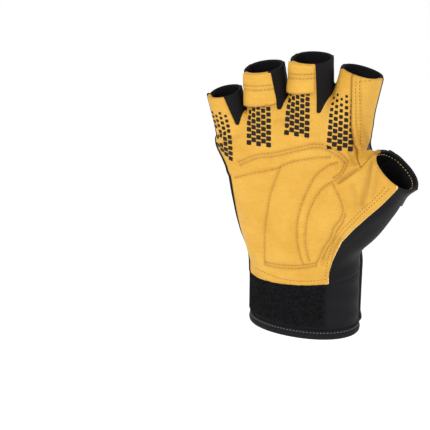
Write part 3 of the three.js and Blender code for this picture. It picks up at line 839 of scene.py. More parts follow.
thumb_half = cut(trimmed, lambda p: SEAM_LAP - np.minimum(side_seam(p), in_leather(p)))
thumb_half = cut(without_wedges(cut(thumb_half, lambda p: UNDER_PANEL - on_back(p))), beside_slit)
below_lap = cut(thumb_half, lambda p: UNDER_LAP - behind_thumb(p))
side = panel("thumb_side", cut(below_lap, lambda p: -faces_back(p)), black_cloth, top=-0.05, rounding=0.35,
             relief=side_relief)
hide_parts("thumb_side_panel")
side_back = panel("thumb_side_back", cut(below_lap, faces_back), grey_cloth, top=0.0, rounding=0.35,
                  relief=side_relief)
lap_sheet = cut(thumb_half, behind_thumb)
lapped = panel("thumb_back", lap_sheet, grey_cloth, top=LAP_TOP, rounding=0.5, relief=lap_relief,
               free_edge=below_mouths)
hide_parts("thumb_back_panel")


# Fourchettes
# Black stretch wedges set between the fingers: each is sewn to the leather strip in front and to the
# back panel behind, and makes the facing sides of its two fingers.
for name, w in WEDGES.items():
    gusset = panel(name.replace("fourchette", "gusset"), cut(trimmed, lambda p: in_wedge(p, w)), black_cloth,
                   top=-0.15, rounding=0.5)
    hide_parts(name)


# Palm leather
# One hide of soft yellow leather makes the palm, the fronts of the fingers and the front of the thumb.
# It lies over the edge of the cloth at the thumb side and the cuff, where its cut edge shows pale.
LEATHER_TOP = 0.6
OVERLAY_EDGE = [(31.3, 160), (31.5, 128), (32.2, 116), (34.5, 111.5), (41.7, 107.5)]
OVERLAY_FOOT = [(41.7, 107.5), (49, 117)]

# The pebbles and crinkles of real glove leather are finer than the render can show. They are drawn at these
# sizes, and the dye is mottled at about a millimetre and clouded over the width of a thumb.
GRAIN, CRINKLE, MOTTLE, LEATHER_CLOUD = 0.9 * MM, 2.2 * MM, 1.111 * MM, 22.2 * MM


def tanned_leather(name):
    """Drum-dyed goatskin with a soft polish: fine pebbles, crinkles across the hand and cloudy dye, with
    painted shade darkening its seams and folds."""
    material, tree, skin = new_material(name)
    place = node(tree, "ShaderNodeTexCoord").outputs["Object"]
    cloud = node(tree, "ShaderNodeTexNoise", {
        "Vector": place, "Scale": 1 / LEATHER_CLOUD, "Detail": 5, "Roughness": 0.6}).outputs["Fac"]
    mottle = node(tree, "ShaderNodeTexNoise", {
        "Vector": place, "Scale": 1 / MOTTLE, "Detail": 3}).outputs["Fac"]
    flat = node(tree, "ShaderNodeMapping", {"Vector": place, "Scale": (0.35, 0.35, 1.6)}).outputs["Vector"]
    crinkle = node(tree, "ShaderNodeTexNoise", {
        "Vector": flat, "Scale": 1 / CRINKLE, "Detail": 3}).outputs["Fac"]
    fine = node(tree, "ShaderNodeMath", {0: mottle, 1: crinkle}, operation="ADD").outputs[0]
    depth = node(tree, "ShaderNodeMath", {0: fine, 1: 0.3, 2: cloud}, operation="MULTIPLY_ADD").outputs[0]
    spread = node(tree, "ShaderNodeMapRange", {
        "Value": depth, "From Min": 0.4, "From Max": 1.2}).outputs["Result"]
    tone = node(tree, "ShaderNodeMix", {
        "Factor": spread, "A": hex_colour("C78F27"), "B": hex_colour("E0B048")}, data_type="RGBA")
    # Painted shade: the kept shade darkens the leather along its sewn lines, its folds and beside the
    # overlay's edge.
    seam = node(tree, "ShaderNodeAttribute", attribute_name="shade").outputs["Fac"]
    dye_and_painted_shade = node(tree, "ShaderNodeMix", {
        "Factor": seam, "A": tone.outputs["Result"], "B": hex_colour("9C6A1C")}, data_type="RGBA")
    pebbles = node(tree, "ShaderNodeTexVoronoi", {"Vector": place, "Scale": 1 / GRAIN}).outputs["Distance"]
    height = node(tree, "ShaderNodeMath", {0: crinkle, 1: 2.2, 2: pebbles},
                  operation="MULTIPLY_ADD").outputs[0]
    bump = node(tree, "ShaderNodeBump", {"Height": height, "Strength": 0.7, "Distance": 0.3 * MM})
    polish = node(tree, "ShaderNodeMapRange", {"Value": cloud, "To Min": 0.68, "To Max": 0.52})
    tree.links.new(dye_and_painted_shade.outputs["Result"], skin.inputs["Base Color"])
    tree.links.new(bump.outputs["Normal"], skin.inputs["Normal"])
    tree.links.new(polish.outputs["Result"], skin.inputs["Roughness"])
    skin.inputs["Specular IOR Level"].default_value = 0.35
    return material


def traced(marks, view=FRONT, per_step=10):
    """A smooth line through marks read off a view, laid on the last: its points, in mm."""
    curve = smooth_curve({"z": [0] * len(marks), "u": [m[0] for m in marks], "v": [m[1] for m in marks]},
                         per_step * (len(marks) - 1) + 1)
    right, up, back, eye = view_axes(view)
    reach = view["scale"] * view["distance"]
    hits = []
    for u, v in zip(curve["u"], curve["v"]):
        sight = right * (u - FRAME_WIDTH / 2) / reach - up * (v - FRAME_WIDTH / 2) / reach - back
        hit = glove_surface.ray_cast(eye, sight.normalized())[0]
        if hit:
            hits.append(hit[:])
    return np.array(hits)


def beside(line, distance):
    """The line moved sideways over the last, to the left of its direction as seen from outside."""
    n = normals_at(line)
    side = np.cross(n, np.gradient(line, axis=0))
    side /= np.maximum(np.linalg.norm(side, axis=1), 1e-6)[:, None]
    return onto_last(line + distance * side, 2)


# Sewn lines of the palm, as marks in the front view: single rows, and double rows with their gap in mm.
PALM_ROWS = {
    "knuckle row": (1.9, [(239.5, 163.5), (257, 156.5), (273, 154.8), (293, 150.3), (305, 147.6),
                          (317, 145.8), (329, 149), (341, 156), (347, 162)]),
    "heart crease": (0, [(235.5, 177.4), (250, 174), (266, 171), (279, 168.1)]),
    "head crease": (0, [(280.4, 166.7), (293.5, 161.7), (312.5, 158.3), (330, 157)]),
    "life crease": (0, [(280.4, 167.5), (274, 184), (269.8, 197), (267, 214.4), (265.2, 228.3), (264.7, 247),
                        (265, 263)]),
    "heel row": (1.7, [(265, 263), (270, 264.5), (279, 266.2), (293, 267.1), (306, 266.2), (316, 264.3)]),
    "thumb mound row": (0, [(337.3, 162.6), (328, 165.8), (316, 175.5), (309.5, 186.6), (303.1, 200.5),
                            (298.4, 216.2), (297, 228.3), (297.5, 242.1), (300.3, 256), (303.5, 264.3)]),
    "thumb pad inner row": (0, [(331.7, 182), (324.3, 186.6), (317.9, 194), (312.3, 204.2), (308.1, 215.3),
                                (305.8, 228.3), (305.4, 242.1), (307.2, 253.2), (309.5, 260.6)]),
    "thumb pad outer row": (0, [(332.2, 182), (338.2, 195), (341.9, 204.2), (342.8, 212.5), (339.1, 220.9),
                                (333.6, 228.3), (330.8, 237.5), (324.3, 246.8), (319.7, 256.9),
                                (316, 264.3)]),
    "thumb pad second row": (0, [(345.4, 214), (342, 223.5), (336.5, 231.5), (333.6, 240), (327, 249.5),
                                 (322.5, 259)]),
    "web rows": (1.9, [(346, 163), (344, 169), (341, 174), (334.5, 179)]),
}
# Folds that the hand has worn into the leather: depth and half width in mm, then marks.
FOLDS = [
    (1.5, 1.6, [(362, 166.3), (355, 171), (348, 176), (340, 181.5)]),
    (0.9, 2.4, [(371.5, 163), (369, 176), (366, 190), (362, 204)]),
    (0.5, 2.0, [(377.5, 172), (376.5, 184), (373, 196)]),
    (0.5, 1.6, [(350, 153), (355, 163), (360, 167.5)]),
    (0.4, 2.2, [(352, 186), (356, 196), (357, 206)]),
    (0.5, 1.8, [(322, 262), (333, 250), (341, 238)]),
    (0.35, 1.6, [(224, 142), (232, 140), (240, 137)]),
    (0.35, 1.6, [(276, 122), (281, 121), (287, 124)]),
]
GROOVE_DEPTH, GROOVE_HALF_WIDTH = 0.75, 1.0
PAD_RISE, PAD_REACH = 1.5, 5.0

palm_lines = []
for gap, marks in PALM_ROWS.values():
    line = traced(marks)
    palm_lines += [beside(line, gap / 2), beside(line, -gap / 2)] if gap else [line]
fold_lines = [(deep, wide, traced(marks)) for deep, wide, marks in FOLDS]


def on_overlay(p):
    """How far points are inside the leather overlay of the index finger."""
    return within(p, OVERLAY_EDGE + OVERLAY_FOOT[1:] + [(54, 122), (54, 175), (31.3, 175)])


def padded_zone(p):
    """One over the padded heel and middle of the palm, fading to nothing towards fingers and edges."""
    x, z = p[:, 0], p[:, 2]
    lengthwise = smooth_step(z, 36, 46) * (1 - smooth_step(z, 96, 106))
    return lengthwise * smooth_step(x, -38, -26) * (1 - smooth_step(x, 26, 38))


def palm_relief(p, edge=None):
    """Rise of the palm leather over its plain level, in mm, and its painted shade: pads puff up between the
    sewn-down lines, and folds run where the hand bends; the lines and folds are painted darker as shade."""
    d = line_distance(p, palm_lines)
    groove = ridge(d, 0, GROOVE_HALF_WIDTH)
    rise = PAD_RISE * padded_zone(p) * (1 - ridge(d, 0, PAD_REACH)) - GROOVE_DEPTH * groove
    shade = 0.45 * ridge(d, 0, 0.8)
    open_field = smooth_step(-on_overlay(p), 0.5, 3)
    for deep, wide, line in fold_lines:
        f = line_distance(p, [line])
        rise += open_field * deep * (0.55 * ridge(f, 0, 2.4 * wide) - 1.3 * ridge(f, 0, wide))
        shade = np.maximum(shade, 0.6 * min(deep, 1) * ridge(f, 0, wide) * open_field)
    # Painted shadow along the palm where the overlay's edge lies on it.
    under_overlay = ridge(on_overlay(p), -0.2, 0.8)
    return np.maximum(rise, -1.0) - 0.3 * under_overlay, np.maximum(shade, under_overlay)


def leather_level(p):
    """How high the leather's face stands over the last."""
    return LEATHER_TOP + palm_relief(p)[0]


yellow_leather = tanned_leather("yellow_leather")
# Where the hide is cut, its undyed inner fibres show as a pale matt line.
cut_edge, _, edge_skin = new_material("leather_cut_edge")
edge_skin.inputs["Base Color"].default_value = hex_colour("F6D488")
edge_skin.inputs["Roughness"].default_value = 0.8

leather_sheet = without_wedges(cut(cut(trimmed, side_seam), in_leather))
palm_sheet = cut(leather_sheet, lambda p: UNDER_PANEL - on_overlay(p))
palm = panel("palm_hide", palm_sheet, [yellow_leather, cut_edge, black_knit], top=LEATHER_TOP, rounding=0.5,
             relief=palm_relief, free_edge=lambda p: np.minimum(in_leather(p), above_cuff(p)))
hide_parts("palm_leather")

OVERLAY_TOP = LEATHER_TOP + 0.7
# The edge that is turned under, by level.
FOLD_Z, FOLD_X = [106.5, 111.5, 116, 128, 160], [41.7, 34.5, 32.2, 31.5, 31.3]


def overlay_relief(p, edge):
    """The overlay's left edge is turned under and stands proud; its foot thins out into the web."""
    seam = p[:, 0] - np.interp(p[:, 2], FOLD_Z, FOLD_X)
    rows = np.maximum(ridge(seam, 2.4, 0.5), ridge(seam, 4.6, 0.5)) * smooth_step(p[:, 2], 108, 114)
    (x0, z0), (x1, z1) = OVERLAY_FOOT
    from_foot = ((p[:, 2] - z0) * (x1 - x0) - (p[:, 0] - x0) * (z1 - z0)) / math.hypot(x1 - x0, z1 - z0)
    thin = (OVERLAY_TOP - LEATHER_TOP - 0.05) * (1 - smooth_step(from_foot, 0.5, 7))
    thin = np.maximum(thin, 0.8 * (1 - smooth_step(side_seam(p), 0.3, 4.5)))
    # The stitch rows and the turned-under edge get painted shade.
    return (0.35 * ridge(seam, 1.0, 1.0) * smooth_step(from_foot, 0.5, 6) - 0.15 * rows - thin,
            np.maximum(0.25 * rows, ridge(seam, 0, 0.45) * smooth_step(from_foot, 0.5, 4)))


overlay = panel("index_side_hide", cut(leather_sheet, on_overlay),
                [yellow_leather, yellow_leather, black_knit], top=OVERLAY_TOP, rounding=0.45,
                relief=overlay_relief)
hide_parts("index_side_leather")


# Palm stitching
# The padded lines are sewn through with yellow thread, and a double row holds the leather along its
# free edges. Each stitch is a short length of thread that dips into its holes.
def new_tree(name, inputs, output):
    """An empty tree with named inputs of the given kinds, and one output of geometry."""
    tree = bpy.data.node_groups.new(name, "GeometryNodeTree")
    for label, kind in inputs.items():
        tree.interface.new_socket(label, in_out="INPUT", socket_type="NodeSocket" + kind)
    tree.interface.new_socket(output, in_out="OUTPUT", socket_type="NodeSocketGeometry")
    return tree


def running_stitch():
    """A tree that sets one stitch at every step along sewn lines."""
    tree = new_tree("running_stitch", {"Lines": "Geometry", "Step": "Float", "Length": "Float",
                                       "Thickness": "Float", "Thread": "Material"}, "Stitches")
    given = node(tree, "NodeGroupInput").outputs
    curve = node(tree, "GeometryNodeMeshToCurve", {"Mesh": given["Lines"]})
    holes = node(tree, "GeometryNodeCurveToPoints",
                 {"Curve": curve.outputs["Curve"], "Length": given["Step"]}, mode="LENGTH")
    up = node(tree, "GeometryNodeInputNamedAttribute", {"Name": "up"}, data_type="FLOAT_VECTOR")
    along = node(tree, "FunctionNodeAlignRotationToVector", {"Vector": holes.outputs["Tangent"]}, axis="X")
    level = node(tree, "FunctionNodeAlignRotationToVector",
                 {"Rotation": along.outputs["Rotation"], "Vector": up.outputs["Attribute"]},
                 axis="Z", pivot_axis="X")
    thread = node(tree, "GeometryNodeMeshUVSphere", {"Segments": 6, "Rings": 4, "Radius": 0.5})
    size = node(tree, "ShaderNodeCombineXYZ",
                {"X": given["Length"], "Y": given["Thickness"], "Z": given["Thickness"]})
    laid = node(tree, "GeometryNodeInstanceOnPoints", {
        "Points": holes.outputs["Points"], "Instance": thread.outputs["Mesh"],
        "Rotation": level.outputs["Rotation"], "Scale": size.outputs["Vector"]})
    plain = node(tree, "GeometryNodeRealizeInstances", {"Geometry": laid.outputs["Instances"]})
    smooth = node(tree, "GeometryNodeSetShadeSmooth", {"Geometry": plain.outputs["Geometry"]})
    made = node(tree, "GeometryNodeSetMaterial",
                {"Geometry": smooth.outputs["Geometry"], "Material": given["Thread"]})
    node(tree, "NodeGroupOutput", {"Stitches": made.outputs["Geometry"]})
    return tree


def grown(name, mesh, tree, values):
    """Runs a tree on a mesh, and keeps what it makes as a plain piece."""
    carrier = bpy.data.objects.new(name + "_ground", mesh)
    bpy.context.scene.collection.objects.link(carrier)
    modifier = carrier.modifiers.new("grow", "NODES")
    modifier.node_group = tree
    for item in tree.interface.items_tree:
        if item.in_out == "INPUT" and item.name in values:
            modifier[item.identifier] = values[item.name]
    ready = carrier.evaluated_get(bpy.context.evaluated_depsgraph_get())
    made = bpy.data.objects.new(name, bpy.data.meshes.new_from_object(ready))
    bpy.data.objects.remove(carrier)
    bpy.context.scene.collection.objects.link(made)
    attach(made, "root")
    return made


def thread_lines(name, lines, level):
    """Sewn lines as loose edges, with the way up kept at each point. They stand `level` mm over the last,
    which is one height for all or a rule that gives each point its own."""
    points, ups, edges = [], [], []
    for line in lines:
        n = normals_at(line)
        height = level(line) if callable(level) else np.full(len(line), level)
        first = len(points)
        points += list((line + height[:, None] * n) * MM)
        ups += list(n)
        edges += [(first + k, first + k + 1) for k in range(len(line) - 1)]
    mesh = bpy.data.meshes.new(name)
    mesh.from_pydata([tuple(p) for p in points], edges, [])
    keep_on(mesh, "up", ups)
    return mesh


def thread_material(name, colour):
    """Bonded nylon thread: evenly dyed and smooth, with a slight gloss on each stitch."""
    material, _, skin = new_material(name)
    skin.inputs["Base Color"].default_value = hex_colour(colour)
    skin.inputs["Roughness"].default_value = 0.5
    return material


STITCH_STEP, STITCH_LENGTH, THREAD = 2.0 * MM, 1.25 * MM, 0.5 * MM
stitch_tree = running_stitch()
yellow_thread = thread_material("yellow_nylon_thread", "95661C")


def sewn(name, lines, level, thread, step=STITCH_STEP, length=STITCH_LENGTH):
    """Rows of stitches along lines on the last."""
    made = grown(name, thread_lines(name, lines, level), stitch_tree,
                 {"Step": step, "Length": length, "Thickness": THREAD, "Thread": thread})


sewn("palm_stitches", palm_lines, leather_level, yellow_thread)

EDGE_ROWS = [
    [(389, 188.5), (378, 199.5), (366, 210), (352.5, 223.5), (341.5, 236), (334.5, 250), (331, 262),
     (328.2, 276.5)],
    [(384.5, 187.5), (375, 198), (363, 208.5), (350, 221.5), (338.8, 234), (331.3, 248), (327.8, 260),
     (325.2, 275)],
    [(325, 279.2), (312, 280.6), (298, 280.8), (285, 278.8), (270, 274.3), (257, 268)],
]
sewn("edge_stitches", [traced(marks) for marks in EDGE_ROWS], leather_level, yellow_thread)

OVERLAY_ROWS = [
    [(356, 81.5), (355.8, 100), (355.5, 120), (356, 140), (358.5, 155)],
    [(360, 81.5), (359.8, 100), (359.5, 120), (359.8, 140), (361, 152)],
    [(361, 80.5), (365, 80.2), (369, 80)],
]
sewn("overlay_stitches", [traced(marks) for marks in OVERLAY_ROWS], OVERLAY_TOP, yellow_thread)


# Grip print
# Five columns of dark rubber squares are printed on each finger. They lie side by side like bricks at the
# root of the finger and shrink to dots towards its tip.

# The spines are marks in the front view. A finger's squares shrink over as many rows as its reach.
GRIPS = {
    "ring": {"spine": [(259, 143.4), (258.5, 90)], "columns": range(-2, 3), "reach": 17},
    "middle": {"spine": [(296.9, 133.6), (299, 80)], "columns": range(-2, 3), "reach": 17},
    "index": {"spine": [(339.6, 148), (342.6, 94.5)], "columns": range(-2, 3), "reach": 11.5},
    "little": {"spine": [(231.5, 163.5), (231, 150), (229.5, 132), (226.5, 118), (224.5, 111)],
               "columns": range(-3, 1), "reach": 13.5},
}
GRIP_COLUMN, GRIP_ROW, GRIP_SIZE, GRIP_THICK = 2.95, 3.95, 2.75, 0.28
GRIP_ROWS, ROW_CLOSING, SMALLEST, SHRINK_POWER = 13, 0.972, 0.15, 1.6
GRIP_GAP, SEAM_MARGIN = 0.6, 1.2


def walked(p, way, distance):
    """Points moved a distance over the last in steps, keeping to their way."""
    steps = 8
    for _ in range(steps):
        n = normals_at(p)
        step = way - (way * n).sum(1)[:, None] * n
        step /= np.linalg.norm(step, axis=1)[:, None]
        p = onto_last(p + step * distance / steps, 1)
    return p


def run_of(line):
    """How far along a line each of its points is."""
    return np.concatenate([[0], np.cumsum(np.linalg.norm(np.diff(line, axis=0), axis=1))])


def grip_points():
    """The places, sizes and directions of the printed squares, without those that would touch another or
    the side seam."""
    points, sizes, ways = [], [], []
    for grip in GRIPS.values():
        spine = traced(grip["spine"], per_step=60)
        run = run_of(spine)

        def on_spine(distance):
            return np.stack([np.interp(distance, run, spine[:, k]) for k in range(3)], 1)

        at = GRIP_ROW * np.cumsum(ROW_CLOSING ** np.arange(GRIP_ROWS)) - GRIP_ROW
        for column in grip["columns"]:
            places = at + (0 if column % 2 == 0 else GRIP_ROW / 2)
            rows = np.arange(GRIP_ROWS)[places < run[-1]]
            places = places[places < run[-1]]
            row = on_spine(places)
            tall = on_spine(places + 2) - on_spine(places - 2)
            points.append(walked(row, np.cross(tall, normals_at(row)), column * GRIP_COLUMN))
            shrink = np.clip(rows / grip["reach"], 0, 1) ** SHRINK_POWER
            sizes.append(GRIP_SIZE * (1 - (1 - SMALLEST) * shrink))
            ways.append(tall)
    points, sizes, ways = np.concatenate(points), np.concatenate(sizes), np.concatenate(ways)
    from_seam = side_seam(points)
    kept = []
    for k, point in enumerate(points):
        clear = all(np.linalg.norm(point - points[m]) > GRIP_GAP * (sizes[k] + sizes[m]) for m in kept)
        if clear and from_seam[k] > SEAM_MARGIN + sizes[k] / 2:
            kept.append(k)
    return points[kept], sizes[kept], ways[kept]


def print_tree():
    """A tree that lays one printed square, of the size kept there, at every point."""
    tree = new_tree("grip_print", {"Points": "Geometry", "Square": "Object", "Rubber": "Material"}, "Print")
    given = node(tree, "NodeGroupInput").outputs
    up, way = [node(tree, "GeometryNodeInputNamedAttribute", {"Name": name},
                    data_type="FLOAT_VECTOR").outputs["Attribute"] for name in ("up", "way")]
    wide = node(tree, "GeometryNodeInputNamedAttribute", {"Name": "size"},
                data_type="FLOAT").outputs["Attribute"]
    upright = node(tree, "FunctionNodeAlignRotationToVector", {"Vector": up}, axis="Z")
    turned = node(tree, "FunctionNodeAlignRotationToVector",
                  {"Rotation": upright.outputs["Rotation"], "Vector": way}, axis="Y", pivot_axis="Z")
    scale = node(tree, "ShaderNodeCombineXYZ", {"X": wide, "Y": wide, "Z": 1.0})
    square = node(tree, "GeometryNodeObjectInfo", {"Object": given["Square"]})
    laid = node(tree, "GeometryNodeInstanceOnPoints", {
        "Points": given["Points"], "Instance": square.outputs["Geometry"],
        "Rotation": turned.outputs["Rotation"], "Scale": scale.outputs["Vector"]})
    plain = node(tree, "GeometryNodeRealizeInstances", {"Geometry": laid.outputs["Instances"]})
    made = node(tree, "GeometryNodeSetMaterial",
                {"Geometry": plain.outputs["Geometry"], "Material": given["Rubber"]})
    node(tree, "NodeGroupOutput", {"Print": made.outputs["Geometry"]})
    return tree


def printed_square():
    """A square with round corners, one wide and as thick as the print, its upper edge softened."""
    corner = 0.16
    rim = [(0.5 - corner + corner * math.cos(a), 0.5 - corner + corner * math.sin(a))
           for a in (0, math.pi / 4, math.pi / 2)]
    outline = []
    for turns in range(4):
        c, s = round(math.cos(turns * math.pi / 2)), round(math.sin(turns * math.pi / 2))
        outline += [(c * x - s * y, s * x + c * y) for x, y in rim]
    corners, faces, count = [], [], len(outline)
    for scale, height in ((1, -0.6), (1, 0.55), (0.88, 1)):
        corners += [(x * scale, y * scale, height * GRIP_THICK * MM) for x, y in outline]
    for ring in range(2):
        for k in range(count):
            m = (k + 1) % count
            faces.append((ring * count + k, ring * count + m, (ring + 1) * count + m, (ring + 1) * count + k))
    faces.append(tuple(range(2 * count, 3 * count)))
    faces.append(tuple(reversed(range(count))))
    mesh = bpy.data.meshes.new("printed_square")
    mesh.from_pydata(corners, [], faces)
    return bpy.data.objects.new("printed_square", mesh)


places, sizes, ways = grip_points()
ups = normals_at(places)
grip_mesh = bpy.data.meshes.new("grip_places")
grip_mesh.from_pydata(((places + leather_level(places)[:, None] * ups) * MM).tolist(), [], [])
keep_on(grip_mesh, "up", ups)
keep_on(grip_mesh, "way", ways)
keep_on(grip_mesh, "size", sizes * MM)
# Silicone-based ink, screen printed thick: a dark brown that stays dull where it catches the light.
print_rubber, _, rubber_skin = new_material("screen_printed_rubber")
rubber_skin.inputs["Base Color"].default_value = hex_colour("1A110D")
rubber_skin.inputs["Roughness"].default_value = 0.6
rubber_skin.inputs["Specular IOR Level"].default_value = 0.25
square = printed_square()
grip = grown("grip_print", grip_mesh, print_tree(), {"Square": square, "Rubber": print_rubber})
bpy.data.objects.remove(square)


# Pull tabs
# A band of the same leather is folded over the mouth of the ring finger and of the middle finger, with its
# lower edge left loose to pull on. Two rows of stitching hold it.
TABS = {
    "ring_pull_tab": {
        "outline": [(-31, 133.2), (-21, 134.9), (-10.3, 137.3), (-13.3, 165), (-25.4, 165)],
        "finger": "ring",
        "rows": [[(246, 84.2), (257, 85.3), (270, 84.2)], [(246, 88.6), (257, 89.6), (272, 88.2)]],
    },
    "middle_pull_tab": {
        "outline": [(-7.2, 142.5), (2, 144), (11.6, 145.9), (12.0, 175), (0.5, 175)],
        "finger": "middle",
        "rows": [[(290.5, 73), (302, 74), (315, 73)], [(290, 77.2), (302, 78.2), (315, 77.2)]],
    },
}
TAB_TOP, TAB_SKIN, TAB_FRONT, TAB_ROW_DEPTH = LEATHER_TOP + 1.0, 0.9, 6.5, 0.3


def tab_relief(outline, rows):
    """Higher towards the loose lower edge, and drawn down by the two rows of stitches."""
    (x0, z0), (x1, z1) = outline[0], outline[2]

    def relief(p, edge):
        up_from_edge = p[:, 2] - z0 - (p[:, 0] - x0) * (z1 - z0) / (x1 - x0)
        sewn_down = ridge(line_distance(p, rows), 0, 0.9)
        loose = 1 - smooth_step(up_from_edge, 0, 9)
        # Painted shade in the two stitch rows, and a painted shadow under the loose lower edge.
        shade = np.maximum(0.35 * sewn_down, 0.8 * ridge(up_from_edge, 0, 0.4))
        return 0.9 * loose - TAB_ROW_DEPTH * sewn_down, shade

    return relief


for name, tab in TABS.items():
    foot, mouth, _ = finger_line(FINGERS[tab["finger"]])
    rows = [traced(marks) for marks in tab["rows"]]

    def on_tab(p):
        middle = foot[1] + (p[:, 2] - foot[2]) * (mouth[1] - foot[1]) / (mouth[2] - foot[2])
        return np.minimum(within(p, tab["outline"]), middle - TAB_FRONT - p[:, 1])

    made = panel(name.replace("pull_tab", "pull_loop"), cut(whole_glove, on_tab), [yellow_leather] * 3,
                 top=TAB_TOP, rounding=0.35, relief=tab_relief(tab["outline"], rows), thickness=TAB_SKIN)
    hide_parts(name)
    sewn(name.replace("pull_tab", "tab_stitches"), rows, TAB_TOP - TAB_ROW_DEPTH, yellow_thread)


# Piping and cloth seams
# A thin black cord is caught between the leather and the knit, down the little-finger side and round the
# index finger. Dark thread runs beside the seam from there to the slit in the cuff.
def piping_tree():
    """A tree that draws a round cord, as thick as each point says, along lines."""
    tree = new_tree("piping", {"Lines": "Geometry", "Sides": "Int", "Cloth": "Material"}, "Cord")
    given = node(tree, "NodeGroupInput").outputs
    curve = node(tree, "GeometryNodeMeshToCurve", {"Mesh": given["Lines"]})
    thick = node(tree, "GeometryNodeInputNamedAttribute", {"Name": "thick"}, data_type="FLOAT")
    section = node(tree, "GeometryNodeCurvePrimitiveCircle", {"Resolution": given["Sides"], "Radius": 1.0})
    cord = node(tree, "GeometryNodeCurveToMesh", {
        "Curve": curve.outputs["Curve"], "Profile Curve": section.outputs["Curve"],
        "Scale": thick.outputs["Attribute"], "Fill Caps": True})
    smooth = node(tree, "GeometryNodeSetShadeSmooth", {"Geometry": cord.outputs["Mesh"]})
    plain = node(tree, "GeometryNodeRealizeInstances", {"Geometry": smooth.outputs["Geometry"]})
    made = node(tree, "GeometryNodeSetMaterial",
                {"Geometry": plain.outputs["Geometry"], "Material": given["Cloth"]})
    node(tree, "NodeGroupOutput", {"Cord": made.outputs["Geometry"]})
    return tree


cord_tree = piping_tree()


def piped(name, lines, level, thick, sides=10):
    """A round cord of black cloth along lines on the last, `thick` mm in radius at each of its points."""
    mesh = thread_lines(name, lines, level)
    keep_on(mesh, "thick", np.broadcast_to(thick, len(mesh.vertices)) * MM)
    made = grown(name, mesh, cord_tree, {"Sides": sides, "Cloth": black_knit})
    return made


def level_lines(sheet, field, level, where):
    """The lines along which the field has that level on a sheet, in the places that `where` allows."""
    points, tris = main_sheet(cut(sheet, lambda p: field(p) - level))
    tolerance = 0.15
    lines = []
    for loop in border_loops(tris):
        on = (np.abs(field(points[loop]) - level) < tolerance) & where(points[loop])
        start = int(np.argmin(on))
        run = []
        for k, here in zip(np.roll(loop, -start), np.roll(on, -start)):
            if here:
                run.append(points[k])
            else:
                lines.append(np.array(run))
                run = []
        lines.append(np.array(run))
    return [line for line in lines if len(line) > 8]


SEAM_CORD = [(60.9, 207), (60.5, 211)]
SIDE_SEAM_ROW = [(60.5, 209), (60.6, 219), (63.3, 239), (67.9, 262), (71.6, 280.6), (74.5, 293)]
outer_seam = level_lines(trimmed, side_seam, 0.0, lambda p: p[:, 0] < np.where(p[:, 2] > 118, -40, -25))
index_seam = level_lines(trimmed, side_seam, 0.0, lambda p: (p[:, 0] > 36) & (p[:, 2] > 116))
piped("outer_piping", outer_seam, level=0.2, thick=1.2)
piped("index_piping", index_seam, level=0.15, thick=0.75)
piping_end = min(np.concatenate(index_seam), key=lambda p: p[2])
corners = np.concatenate([[piping_end], traced(SEAM_CORD, BACK, per_step=1)])
curve = smooth_curve(dict(zip("xyz", corners.T)), 30)
piped("seam_cord", [onto_last(np.stack([curve[k] for k in "xyz"], 1), 3)], level=0.2, thick=0.6)
black_thread = thread_material("black_nylon_thread", "111014")
sewn("seam_stitches", [traced(SIDE_SEAM_ROW, BACK)], level=0.1, thread=black_thread)


# Thumb opening
# The mouth of the thumb is hemmed with straw-coloured thread, which shows on the inside. Two rows of the
# same thread hold the thumb's back piece along its lap and its sides.
straw_thread = thread_material("straw_nylon_thread", "C6AB70")
THUMB_HEM, INSIDE = 2.2, -FABRIC_WALL - 0.1


def thumb_ring(below, start, end):
    """A line round the thumb's tube, `below` mm under its mouth, between two angles in degrees."""
    middle, axis, flat, deep, width, depth = limb_frames(THUMB)
    angles = np.radians(np.linspace(start, end, 90))
    ring = middle[-1] - below * axis[-1] + np.outer(width[-1] * np.cos(angles), flat[-1])
    return onto_last(ring + np.outer(depth[-1] * np.sin(angles), deep[-1]), 3)


sewn("thumb_hem_inside", [thumb_ring(THUMB_HEM, start=-20, end=200)], INSIDE, straw_thread)
lap_rows = [line for row in LAP_ROWS
            for line in level_lines(lap_sheet, behind_thumb, row, lambda p: below_mouths(p) > 1.2)]
sewn("lap_stitches", lap_rows, LAP_TOP, straw_thread)


# Wrist band
# A band of thick black stretch cloth closes round the wrist. It is seamed under the leather and to the
# back panel, and a turned hem with one row of grey thread binds its foot.
HEM_FOOT, HEM_HEIGHT, HEM_LAP, HEM_ROW, HEM_ROW_SINK = 0.4, 5.0, 0.8, 4.1, 0.1
BAND_TOP, HEM_TOP, HEM_EXTRA_WALL = -0.2, 0.45, 0.3


def band_relief(p, edge):
    """A seam along the edges, and slack in the cloth between them."""
    groove = ridge(edge, 1.6, GROOVE)
    slack = 0.25 * np.sin(p[:, 2] * 0.5 + p[:, 0] * 0.08) * smooth_step(edge, 2, 8)
    # The seam groove gets painted shade.
    return slack - 0.3 * groove, 0.6 * groove


def hem_relief(p, edge):
    """A fat roll with its row of stitches drawn in near the top."""
    z = p[:, 2]
    row = ridge(z, HEM_ROW, 0.5)
    # The stitch row's groove gets painted shade.
    return 0.45 * ridge(z, 1.9, 1.6) - 0.3 * row, 0.5 * row


cuff_sheet = cut(whole_glove, beside_slit)
band_sheet = cut(cuff_sheet, lambda p: np.minimum(UNDER_LAP - above_cuff(p), p[:, 2] - HEM_HEIGHT + HEM_LAP))
band = panel("wrist_band", band_sheet, black_cloth, top=BAND_TOP, rounding=0.3, relief=band_relief)
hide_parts("cuff_band")
hem_sheet = cut(cuff_sheet, lambda p: np.minimum(HEM_HEIGHT - p[:, 2], p[:, 2] - HEM_FOOT))
hem = panel("wrist_hem", hem_sheet, black_cloth, top=HEM_TOP, rounding=0.6, relief=hem_relief,
            wall=FABRIC_WALL + HEM_EXTRA_WALL)
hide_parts("cuff_hem")


